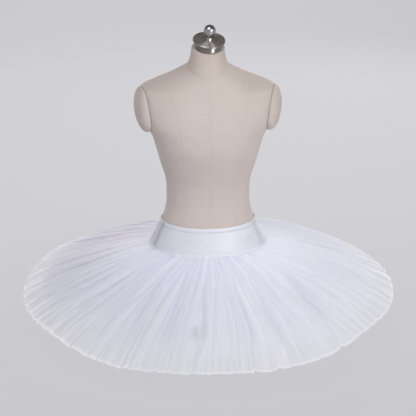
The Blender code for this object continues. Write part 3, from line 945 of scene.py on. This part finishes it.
def basque_panel(name, node, first, last):
    """One panel between two directions, with its lower edge folded under as a welt."""
    turns = np.radians(np.linspace(first, last, 150))
    levels = np.concatenate((
        BASQUE_BOTTOM + WELT_LEVELS,
        np.linspace(BASQUE_BOTTOM + 0.0100, WAISTBAND_BOTTOM - 0.0010, 28),
        (WAISTBAND_BOTTOM - SEAM_GAP,)))[:, None]
    up = levels - BASQUE_BOTTOM
    edge = np.minimum(1, np.minimum(turns - turns[0], turns[-1] - turns) / math.radians(1.6))
    lift = band_folds(form_points(levels, turns)) * np.clip(edge, 0.1, 1)
    lift *= np.clip(up / 0.012, 0.2, 1) * np.clip((WAISTBAND_BOTTOM - levels) / 0.008, 0.15, 1)
    outward = EASE + SATIN + np.maximum(lift, -0.0004) + np.interp(up, *WELT.T)
    stitch = np.zeros_like(lift)
    stitch[WELT_STITCH] = 1.0
    stitch[:, [0, -1]] = 0.8
    # the turned value is painted shade at the sides
    painted = {"stitch": stitch, "turned": painted_side_shade(turns)}
    # the edge value is a painted highlight on the welt's folded edge
    painted["edge"] = rising(levels, BASQUE_BOTTOM + 0.0062, -0.0010)
    sewn_band(name, node, turns, levels, outward - 0.0004 * (edge < 0.3), painted, closed=False)


basque_panel("satin_basque_back", "basque_back", 0.06, 179.94)
basque_panel("satin_basque_front", "basque_front", 180.06, 359.94)
print("basque panels are", round(1000 * (WAISTBAND_BOTTOM - BASQUE_BOTTOM), 1), "mm high")

# %% elastic casing
def casing():
    """The waistband: a narrow tube of satin that bulges over its elastic and ripples."""
    turns = np.linspace(0, math.tau, 520, endpoint=False)
    degrees = np.degrees(turns)
    levels, bulge = CASING.T[..., None]
    levels = WAISTBAND_BOTTOM + levels
    slack = 0.35 + 0.65 * bell(degrees, 215, 22) + 0.45 * bell(degrees, 335, 14)
    slack += 0.40 * bell(degrees, 70, 40)
    ripple = np.sin(turns * 96 + 2.0 * np.sin(turns * 7)) + 0.6 * np.sin(turns * 61 + 1.3)
    outward = EASE + SATIN + bulge + 0.00020 * ripple * slack * (bulge > 0.0002)
    stitch = np.zeros_like(levels)
    stitch[1] = 0.8
    # the turned value is painted shade at the sides
    painted = {"stitch": stitch, "turned": painted_side_shade(turns)}
    # the edge value is a painted highlight along the casing's top edge
    painted["edge"] = rising(levels, BASQUE_TOP - 0.0030, 0.0010)
    sewn_band("satin_waistband", "waistband", turns, levels, outward, painted)


casing()
print("casing is", round(1000 * (BASQUE_TOP - WAISTBAND_BOTTOM)), "mm high")

# %% [markdown]
# ## Net
#
# Tutu net is a stiff white mesh with holes of about two millimetres.  From a step away the
# holes vanish and the cloth is a veil: part of the light goes through it, part is scattered on
# to the next layer.  So each layer is a see-through shell, and where a pleat folds back under
# itself three shells lie on one another and the veil turns white, as on the real brim.

# %% net finishes
NEAR_RIM = (0.868, 0.868, 0.922, 1)
FOLD_SHADE = (0.640, 0.615, 0.706, 1)
CREASE_LIGHT = (0.970, 0.958, 0.950, 1)
CREASE_DARK = (0.700, 0.692, 0.815, 1)
REAR_SHADE = (0.868, 0.848, 0.892, 1)
LIT = (0.975, 0.965, 0.965, 1)
SHADOW_PATCH = (0.480, 0.415, 0.455, 1)
SHADE_UNDER_CREST = (0.600, 0.590, 0.675, 1)
RIM_LINE = (0.975, 0.965, 0.968, 1)
THROUGH = (0.916, 0.914, 0.952, 1)


def net_finish(name, white, blue, thinnest, thickest, seed):
    """A veil of net: its colours with painted shade, painted light and a painted glow, and how much of
    it is cloth where it is thin and dense.
    """
    net = Finish(name)
    creases = net.grain(0.0150, 0.2600, 2.0, seed)
    fine = net.grain(0.0048, 0.1500, 2.0, seed + 1)
    patches = net.grain(0.1100, 0.1300, 2.0, seed + 2)
    gathers = net.grain(0.0060, 0.0450, 2.0, seed + 3)
    holes = net.threads(0.0022, "X") * net.threads(0.0019, "Y")
    along = net.worked("along")
    hollow = net.worked("hollow")
    crest = net.worked("crest")
    lit_up = net.worked("lit")
    rim = 1 - net.worked("from_rim").between(0.0034, 0.0090)
    thin = net.worked("thin")
    close = 1 - along.between(0.02, 0.22)
    inner = 1 - along.between(0.62, 0.90)
    shade = creases * 0.50 + fine * 0.18 + patches * 0.32
    near_rim = along.between(0.78, 0.94)
    light_creases = creases.between(0.52, 0.64) * near_rim
    dark_creases = (1 - creases.between(0.36, 0.48)) * near_rim
    bluish = net.blend(along.between(0.72, 1.00), blue, NEAR_RIM)
    colour = net.blend(shade.between(0.36, 0.64), bluish, white)
    # painted shade in the folds: beside each crest, in troughs and between ripples
    colour = net.blend(hollow * 0.46, colour, FOLD_SHADE)
    colour = net.blend(light_creases * 0.40, colour, CREASE_LIGHT)
    colour = net.blend(dark_creases * 0.40, colour, CREASE_DARK)
    # painted shade: greyer and less blue on the left rear
    colour = net.blend(net.worked("greyed"), colour, REAR_SHADE)
    colour = net.blend(lit_up, colour, LIT)
    # painted shadow: dark patches where the shade below a pleat shows
    colour = net.blend(thin, colour, SHADOW_PATCH)
    # painted shade on the cloth folded back under each crest
    colour = net.blend((1 - crest.between(-1.0, 0.0)) * 0.22, colour, SHADE_UNDER_CREST)
    colour = net.blend(rim * 0.58, colour, RIM_LINE)
    density = shade.between(0.34, 0.66) * (thickest - thinnest) + thinnest
    density = density + inner * 0.18 + rim * 0.20 - holes * 0.03
    relief = net.relief(creases * 0.35 + gathers * close * 0.5 + fine * 0.06, 0.0012)
    # painted glow: the net gives off some of its own colour, most near the seam and where light is
    # painted
    glow_share = (1 - along) * 0.60 + 0.15 + lit_up * 0.85
    net.surface({
        "Base Color": colour,
        "Roughness": 0.62,
        "Specular IOR Level": 0.25,
        "Sheen Weight": 0.15,
        "Emission Color": net.blend(glow_share, (0.0, 0.0, 0.0, 1), colour),
        "Emission Strength": 0.21,
        "Normal": relief,
    })
    glow = net.node("BsdfTranslucent", {}, {"Color": THROUGH, "Normal": relief})
    lit = net.node("MixShader", {}, {0: 0.42, 1: Tone(net, net.shader.outputs[0]), 2: glow})
    clear = net.node("BsdfTransparent", {}, {"Color": (1, 1, 1, 1)})
    veil = net.node("MixShader", {}, {0: density.between(0.0, 1.0), 1: clear, 2: lit})
    net.feed(net.output.inputs["Surface"], veil)
    return net


net_top = net_finish("net_top", (0.918, 0.926, 0.958, 1), (0.858, 0.870, 0.944, 1), 0.66, 0.78, 20.0)
net_under = net_finish("net_under", (0.915, 0.924, 0.970, 1), (0.868, 0.880, 0.962, 1), 0.70, 0.88, 30.0)

print("nets:", len(net_top.tree.nodes), "nodes each")

# %% [markdown]
# ### Knife pleats
#
# A strip of net several times longer than the hip is pleated to fit it.  The strip's length
# stays the same from seam to rim, so the pleats lie deep over one another at the seam and
# almost open out at the rim.  That rule gives every overlap: at any distance from the axis the
# cloth that is left over is folded under.  The rows of the tables give the deepest folds, where
# the rim rises and falls, and where the brim has soft ridges and troughs.

# %% sizes of the brim
BRIM_RADIUS = 0.518
BRIM_DROP = 0.1355
STRAIGHT_DROP = 0.58
NET_SEAM_HEIGHT = 0.2225
NET_SEAM_OUT = 0.0030
SEAM_STEP = 0.0130
RIM_STEP = 0.0105
FOLD_AT_SEAM = 0.0022
FOLD_AT_RIM = 0.0056
NOTCH = 0.0040
PLEATS_START = 0.15                 # radius of the hip, where the pleats are sewn
TUCK_IN, TUCK_UP = 0.0016, 0.0034   # of the innermost row, under the basque
SLOPE = 1.06                        # a layer's depth down its slope over its depth in plan
FRONT, FRONT_WIDTH = 272, 36        # degrees: where the rim hangs flattest
PLEAT_FACE = np.array((
    # place  height: across a pleat's face, from the hollow it starts in to its crest
    (0.00,   0.00),
    (0.15,   0.26),
    (0.35,   0.53),
    (0.60,   0.79),
    (0.82,   0.95),
    (0.94,   1.02),
    (1.00,   1.00),
))
COVERED = (0.0, 0.55)                                # places under the pleat before
IN_SIGHT = (0.0, 0.05, 0.12, 0.24, 0.42, 0.62, 0.82, 0.94, 1.0)  # places across what shows
FACE_CLOTH = 0.80                                    # of the cloth is face, the rest turns back
PLEAT_RETURN = (
    # place back from the crest  height  place on the cloth
    (0.60, 0.72, 0.88), (0.20, 0.30, 0.95),
)
PLEAT_PLACES = (0.00, 0.45, 0.86, 1.00)
PLEAT_HEIGHTS = (0.0, 0.65, 1.0, 1.0)
RIM_SHAPE = np.array((
    # degrees  rise     reach
    (0,     0.000,   0.003),
    (40,    0.002,   0.001),
    (80,    0.003,   0.000),
    (111,  -0.014,  -0.001),
    (135,   0.004,   0.001),
    (155,   0.006,   0.001),
    (185,  -0.006,  -0.003),
    (210,   0.003,  -0.006),
    (243,  -0.006,   0.002),
    (262,   0.003,   0.001),
    (280,  -0.001,   0.001),
    (300,  -0.002,  -0.001),
    (322,   0.015,  -0.003),
    (345,   0.002,  -0.002),
))
MAIN_FOLDS = (
    (217.3, 2), (227.9, 1), (233.1, 2), (243.3, 1), (247.8, 1), (252.0, 1), (256.1, 4),
    (278.9, 1), (283.1, 1), (289.2, 2), (298.0, 2), (307.6, 3), (323.5, 39),
)
NET_LAYERS = (
    # deep folds  radius  strip length  degrees a pleat  rows
    (60, 0.518, 4.10, 3.40, 50),
    (48, 0.462, 3.70, 4.20, 32),
    (36, 0.402, 3.20, 5.00, 26),
    (28, 0.338, 2.80, 5.60, 22),
    (20, 0.272, 2.40, 6.40, 18),
)
print("strips of net are", [sizes[2] for sizes in NET_LAYERS], "m long")

# %% ridges and marks of the brim
# A ridge, or a trough where its height is negative: (degrees, radius) at its two ends, its
# width and its height in metres.  A painted shadow patch or a painted bright place is the same, with a
# strength.
BRIM_RIDGES = (
    ((317, 0.200), (301, 0.350), 0.020, 0.0030),
    ((301, 0.350), (298, 0.500), 0.022, 0.0030),
    ((316, 0.260), (310, 0.430), 0.013, -0.0028),
    ((263, 0.250), (264, 0.440), 0.0032, -0.0048),
    ((266, 0.240), (268, 0.440), 0.010, 0.0016),
    ((214, 0.260), (213, 0.420), 0.007, -0.0030),
    ((210, 0.280), (208, 0.480), 0.012, 0.0020),
    ((231, 0.300), (229, 0.500), 0.014, 0.0022),
    ((236, 0.260), (237, 0.470), 0.008, -0.0022),
    ((247, 0.220), (244, 0.480), 0.012, 0.0018),
    ((252, 0.250), (250, 0.440), 0.007, -0.0018),
    ((281, 0.230), (284, 0.470), 0.014, 0.0018),
    ((289, 0.280), (291, 0.500), 0.008, -0.0022),
    ((326, 0.300), (322, 0.480), 0.014, 0.0020),
    ((338, 0.260), (340, 0.440), 0.010, -0.0022),
    ((352, 0.240), (349, 0.470), 0.014, 0.0022),
    ((8, 0.260), (11, 0.440), 0.010, -0.0024),
    ((21, 0.230), (18, 0.470), 0.014, 0.0022),
    ((38, 0.280), (41, 0.500), 0.008, -0.0020),
    ((57, 0.240), (55, 0.450), 0.016, 0.0024),
    ((74, 0.260), (78, 0.480), 0.009, -0.0022),
    ((92, 0.230), (90, 0.420), 0.014, 0.0020),
    ((113, 0.280), (111, 0.490), 0.010, -0.0026),
    ((128, 0.230), (133, 0.450), 0.016, 0.0022),
    ((150, 0.260), (148, 0.480), 0.009, -0.0020),
    ((167, 0.240), (170, 0.460), 0.014, 0.0024),
    ((182, 0.280), (180, 0.440), 0.008, -0.0022),
    ((194, 0.230), (196, 0.480), 0.013, 0.0020),
)
# painted shadow patches on the brim
PAINTED_SHADOW_PATCHES = (
    ((261.4, 0.386), (261.5, 0.426), 0.0110, 0.42),
    ((121.0, 0.345), (121.4, 0.385), 0.0080, 0.30),
)
BRIGHT_PLACES = (
    ((290, 0.466), (286, 0.522), 0.0140, 0.36),
    ((246, 0.470), (245, 0.515), 0.0080, 0.50),
    ((61, 0.462), (64, 0.515), 0.0110, 0.60),
)
RIM_NICKS = (
    # degrees  half width  depth of a small nick in the edge of the top layer
    (243.2, 0.60, 0.0075), (247.3, 0.50, 0.0060), (251.6, 0.70, 0.0080), (255.2, 0.50, 0.0065),
    (279.0, 0.60, 0.0070), (282.1, 0.45, 0.0060), (285.8, 0.60, 0.0060), (307.0, 0.70, 0.0085),
    (17.0, 0.60, 0.0070), (64.0, 0.70, 0.0080), (101.0, 0.60, 0.0070), (143.0, 0.60, 0.0080),
)
print("brim has", len(BRIM_RIDGES), "ridges and troughs,", len(RIM_NICKS), "nicks")

# %% where the pleats lie
def even_folds(pleats):
    """Where each deep fold starts, in degrees: folds of uneven width round the whole turn."""
    index = np.arange(pleats)
    widths = 1 + 0.28 * np.sin(2.4 * index) + 0.18 * np.sin(5.1 * index + pleats)
    return np.concatenate(([0.0], np.cumsum(widths)[:-1])) * 360 / widths.sum()


def main_folds():
    """The same for the top layer, whose deepest folds lie in given directions."""
    starts = []
    for row, (angle, pleats) in enumerate(MAIN_FOLDS):
        following = MAIN_FOLDS[(row + 1) % len(MAIN_FOLDS)][0]
        span = (following - angle) % 360
        starts.extend(angle + even_folds(pleats) * span / 360)
    return np.array(starts)


def knife_pleats(starts, width, seed):
    """Split every deep fold into narrower pleats, some broad and some thin."""
    chance = np.random.default_rng(seed)
    edges, ends, talls, places = [], [], [], []
    for index, start in enumerate(starts):
        following = starts[index + 1] if index + 1 < len(starts) else starts[0] + 360
        tall = 0.9 + 0.16 * math.sin(1.7 * index) + 0.09 * math.sin(4.3 * index)
        count = max(1, round((following - start) / width * chance.uniform(0.6, 1.5)))
        marks = np.concatenate(([0], np.cumsum(chance.lognormal(0, 0.55, count))))
        marks /= marks[-1]
        for number in range(count):
            edges.append(start + (following - start) * marks[number])
            places.append((marks[number], marks[number + 1]))
            ends.append(number == count - 1)
            talls.append(tall)
    edges = np.append(edges, edges[0] + 360)
    total = len(talls)
    pleats = {
        "edge": edges, "place": np.array(places), "end": np.array(ends), "tall": np.array(talls),
        "height": chance.uniform(0.35, 1.40, total), "deep": chance.lognormal(-0.05, 0.55, total),
        "jitter": np.clip(chance.normal(0, 1, total), -2, 2),
        "dark": np.clip(chance.lognormal(-1.1, 0.75, total), 0, 1),
        "arch": chance.uniform(0.3, 1.3, total),
    }
    after_end = np.roll(pleats["end"], 1)
    pleats["dark"] = np.where(after_end, np.maximum(pleats["dark"], 0.55), pleats["dark"])
    span = np.diff(edges)
    room = np.minimum(span, np.roll(span, 1))
    sways = (("sway_size", 0.10, 0.34), ("sway_pace", 3.0, 8.0), ("sway_start", 0, 6.28))
    for name, low, high in sways:
        values = chance.uniform(low, high, total)
        pleats[name] = np.append(values, values[0])
    pleats["sway_size"] = pleats["sway_size"] * np.append(room, room[0])
    for name, low, high in (("swell_pace", 3.0, 9.0), ("swell_start", 0, 6.28)):
        pleats[name] = chance.uniform(low, high, total)
    return pleats


print("top net has", len(main_folds()), "deep folds")

# %% columns of the pleats
def pleat_grid(pleats, share, strip, rim_circle):
    """Directions and other values of all columns at each share of the way to the rim."""
    edge, span = pleats["edge"], np.diff(pleats["edge"])
    sway = pleats["sway_size"] * np.sin(pleats["sway_pace"] * share + pleats["sway_start"])
    sway = sway * np.sin(np.pi * np.clip(share, 0.02, 1) ** 0.8 * 0.85)
    swell = 1 + 0.6 * np.sin(pleats["swell_pace"] * share + pleats["swell_start"])
    radius = PLEATS_START + (rim_circle - PLEATS_START) * share
    opened = np.clip((share - 0.74) / 0.24, 0, 1) ** 1.4
    spare = (strip / (math.tau * radius) - 1) / 2 * pleats["deep"] * swell
    spare = np.clip(spare * (1 - 0.85 * opened), 0.03, 0.85)
    left = edge[:-1] + sway[:, :-1]
    crest = edge[1:] + sway[:, 1:] + span * spare
    covered = np.roll(crest, 1, axis=1)
    covered[:, 0] -= 360
    covered = np.clip((covered - left) / (crest - left), 0.02, 0.60)
    start_place, end_place = pleats["place"].T
    fold_end = pleats["tall"] * np.interp(end_place, PLEAT_PLACES, PLEAT_HEIGHTS)
    fold_next = np.where(pleats["end"], 0.0, fold_end)
    faces = [covered * place for place in COVERED]
    faces += [covered + (1 - covered) * place for place in IN_SIGHT]
    columns = []
    none = 0 * swell
    for face in faces:
        fold = pleats["tall"] * np.interp(start_place + (end_place - start_place) * face,
                                          PLEAT_PLACES, PLEAT_HEIGHTS)
        rise = np.interp(face, PLEAT_FACE[:, 0], PLEAT_FACE[:, 1]) * pleats["height"] * swell
        beyond = np.radians((face - covered) * (crest - left)) * radius
        # painted shade on the face just past the crest of the pleat before, and under it
        hollow = np.where(beyond > 0, np.exp(-beyond / 0.0042), np.exp(beyond / 0.0060))
        hollow = hollow * pleats["dark"] * np.clip(swell - 0.2, 0, 1.6)
        shine = np.clip((face - 0.86) / 0.14, 0, 1)
        arch = (0.5 - 0.5 * np.cos(math.tau * face)) * pleats["arch"]
        direction = left + (crest - left) * face
        columns.append((direction, rise, fold, face * FACE_CLOTH, hollow, shine, arch))
    for back_place, rise, flat in PLEAT_RETURN:
        direction = edge[1:] + sway[:, 1:] + span * spare * back_place
        fold = fold_next + (fold_end - fold_next) * rise + none
        rise = rise * pleats["height"] * swell
        # the return columns carry a crest value of -2, which the finish turns into painted shade
        columns.append((direction, rise, fold, flat + none, none, none - 2, none))
    values = [np.stack(column, axis=2) for column in zip(*columns)]
    values[3] = (edge[:-1] - edge[0])[:, None] + span[:, None] * values[3]
    folded = np.tile([number in (0, len(faces) - 1) for number in range(len(columns))], len(span))
    grid = dict(zip(("direction", "rise", "fold", "flat", "hollow", "crest", "arch"),
                    [value.reshape(len(share), -1) for value in values]))
    return grid, np.repeat(pleats["jitter"], len(columns)), folded

print("each pleat has", len(COVERED) + len(IN_SIGHT) + len(PLEAT_RETURN), "columns")

# %% rim and edge
def brim_drop(share):
    return BRIM_DROP * (STRAIGHT_DROP * share + (1 - STRAIGHT_DROP) * share**2)


def round_table(table):
    """A table of directions with its end rows repeated one turn before and after."""
    turn = np.zeros(table.shape[1])
    turn[0] = 360
    return np.vstack((table[-2:] - turn, table, table[:2] + turn))


def flutter(turn, along, arch, front):
    """The free edge opens into soft arches: flat ones in front, tall at the sides and behind."""
    wave = arch * (0.0026 - 0.0016 * front)
    wave += (0.0014 - 0.0006 * front) * np.sin(turn * 23 + 2.6 * np.sin(turn * 6 + 1.0))
    return wave * rising(along, 0.60, 0.40) ** 1.5


def ripples(turn, along):
    """Narrow ripples of the rim at the two sides, from -1 to 1."""
    ends = np.abs(np.cos(turn)) ** 5
    wave = np.sin(turn * 88 + 4.0 * np.sin(turn * 9 + 0.6)) + 0.5 * np.sin(turn * 53 + 1.0)
    return np.clip(wave, -1, 1) * ends * rising(along, 0.74, 0.20)


def edge_light(degrees, along, from_rim):
    """The edge catches the light: a clean line on the front left, a soft fringe behind it."""
    line = bell(degrees, 210, 30) * np.clip(1.6 - from_rim / 0.0060, 0, 1)
    fringe = bell(degrees, 148, 40) + 0.5 * bell(degrees, 45, 35)
    return 0.85 * line + 0.72 * fringe * rising(along, 0.80, 0.18)


def marked(x, y, marks):
    """How strongly each point of the brim is marked by lines between two (degrees, radius)."""
    total = np.zeros_like(x)
    for *ends, width, size in marks:
        start, end = [(r * math.cos(math.radians(a)), r * math.sin(math.radians(a))) for a, r in ends]
        total += fold_along(x, y, start, end, width, size)
    return total


def rim_cut(degrees, fold, jitter, front, nicks):
    """How far the edge of a layer steps out or in, where pleats meet and where it is nicked."""
    cut = NOTCH * (fold - 0.5) + 0.0007 * jitter
    cut = cut * (1 - 0.8 * bell(degrees, 222, 16)) * (0.25 + 0.75 * front)
    for middle, half_width, deep in nicks:
        cut = cut - deep * np.clip(1 - np.abs(degrees - middle) / half_width, 0, 1)
    return cut


print("brim falls", BRIM_DROP, "m from seam to rim")

# %% layers of net
def net_layer(layer, folds, radius, strip, pleat, rows, finish):
    """A pleated layer: rim row first, so that its faces look up."""
    top = layer == 0
    pleats = knife_pleats(main_folds() if top else even_folds(folds), pleat, 40 + layer)
    share = np.linspace(0, 1, rows - 4) ** 1.15 * 0.983
    share = np.concatenate(((0.0,), share, (0.9895, 0.9955, 1.0)))[::-1, None]
    tucked = np.zeros_like(share)
    tucked[-1] = 1.0
    grid, jitter, folded = pleat_grid(pleats, share, strip, radius)
    turn = np.radians(grid["direction"])
    degrees = np.degrees(turn) % 360
    front, left_rear = bell(degrees, FRONT, FRONT_WIDTH), bell(degrees, 150, 42)
    rim = smooth_rows(round_table(RIM_SHAPE), degrees)
    seam_radius, top_seam = [form_radius(NET_SEAM_HEIGHT - SEAM_STEP * number, turn[:1])
                             + NET_SEAM_OUT for number in (layer, 0)]
    rim_radius = radius + rim[..., 2]
    rim_radius = rim_radius + rim_cut(degrees, grid["fold"], jitter, front, RIM_NICKS if top else ())
    out = seam_radius + (rim_radius - seam_radius) * share - TUCK_IN * tucked
    x, y = out * np.cos(turn), out * np.sin(turn)
    along = (out - top_seam) / (BRIM_RADIUS - top_seam)
    step = SEAM_STEP + (RIM_STEP - SEAM_STEP) * along
    fold_height = (FOLD_AT_SEAM + (FOLD_AT_RIM - FOLD_AT_SEAM) * along) * grid["fold"] * 0.80
    fold_height *= 1 - 0.45 * left_rear
    pleat_height = grid["rise"] * (0.0005 + 0.0013 * np.sin(np.pi * share * 0.85))
    height = NET_SEAM_HEIGHT - brim_drop(along) + rim[..., 1] * along**2
    height += (fold_height + pleat_height) * (1 - 0.75 * rising(share, 0.88, 0.12)) - step * layer
    height += TUCK_UP * tucked
    # painted shade in the folds, weaker behind and on the left rear
    hollow = grid["hollow"] * (1 - 0.6 * np.clip(np.sin(turn) + 0.3, 0, 1)) * (1 - 0.5 * left_rear)
    lit, thin = np.zeros_like(hollow), np.zeros_like(hollow)
    if top:
        ridges = marked(x, y, BRIM_RIDGES)
        ripple = ripples(turn, along)
        # near the rim the painted shade fades except in front; troughs of the ridges and ripples get
        # more
        hollow *= 1 - 0.9 * (1 - front) * rising(along, 0.82, 0.14)
        hollow += 0.6 * np.clip(-ridges / 0.0030, 0, 1.4) + 1.2 * np.clip(-ripple, 0, 1)
        # painted shadow patches, then painted light on ripple crests, bright places and the edge
        thin += marked(x, y, PAINTED_SHADOW_PATCHES)
        lit += 0.85 * np.clip(ripple, 0, 1) + marked(x, y, BRIGHT_PLACES)
        lit += edge_light(degrees, along, rim_radius - out)
        height += ridges + flutter(turn, along, grid["arch"], front) + 0.0042 * ripple
    from_rim = rim_radius - out
    across = np.concatenate((grid["flat"], 0 * share + 360.0), axis=1) / 360 * strip
    # the painted values below carry the painted shade, painted shadow and painted light of the net
    painted = {"along": share, "from_rim": from_rim, "hollow": np.minimum(hollow, 1.5),
               "crest": grid["crest"], "lit": np.minimum(lit, 0.9),
               "thin": np.minimum(thin, 0.8), "greyed": 0.64 * left_rear}
    number = layer + 1
    piece = grid_piece(f"net_brim_{number}", f"net_layer_{number}", spread(x, y, height),
                       spread(across, closed_rows(from_rim)), finish, painted=painted)
    crisp_columns(piece, x.shape[1], folded)
    depth = float(np.mean(rim_radius - seam_radius)) * SLOPE
    print(f"net layer {number}: {x.shape[1]} columns, {len(piece.data.polygons)} faces")


for layer, sizes in enumerate(NET_LAYERS):
    net_layer(layer, *sizes, net_under if layer else net_top)

# %% [markdown]
# ## Hip yoke
#
# Under the net the basque goes on as a plain yoke, and each layer of net is sewn to it along
# its own line.  It could be left as a bare tube, but from below the rows of stitching are what
# one sees, so the yoke has a narrow tape at every seam.

# %% yoke
YOKE_BOTTOM = 0.1560
YOKE_CLOTH = 0.0012
YOKE_RADIUS = 0.15
TAPE_ROWS = (-0.0022, -0.0016, 0.0, 0.0016, 0.0022)


def make_yoke():
    """A plain tube with a puckered tape round it at every layer's seam."""
    turns = np.linspace(0, math.tau, 240, endpoint=False)
    seams = NET_SEAM_HEIGHT - SEAM_STEP * np.arange(len(NET_LAYERS))
    top = BASQUE_BOTTOM - SEAM_GAP
    levels = np.append(np.linspace(YOKE_BOTTOM, top, 24), seams[:, None] + TAPE_ROWS)
    levels = np.unique(np.round(levels, 5))
    levels = levels[(levels >= YOKE_BOTTOM) & (levels <= top)][:, None]
    tape = sum(np.clip(1 - (np.abs(levels - z) - 0.0014) / 0.0008, 0, 1) for z in seams)
    tape = np.clip(tape, 0, 1)
    pucker = 0.5 + 0.5 * np.sin(turns * 118 + 1.5 * np.sin(turns * 5))
    outward = EASE + YOKE_CLOTH + 0.0005 * tape * (0.6 + 0.4 * pucker)
    sewn_band("satin_yoke", "hip_yoke", turns, levels, outward, {"stitch": tape * 0.5},
              thickness=YOKE_CLOTH, radius=YOKE_RADIUS)


make_yoke()
print("yoke reaches down to", YOKE_BOTTOM, "m")

# %% [markdown]
# ## How far the dressed form reaches
#
# The dressed form's box is set against the solids' box, and how far it stands past their high corner is
# printed. The dressed form may stand only a little proud of the solids.

# %% sizes and the end
dressed_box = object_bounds()
grown = [round(1000 * (b - a), 1) for a, b in zip(solid_box[1], dressed_box[1])]
print("dressed form stands", grown, "mm past the solids' high corner")
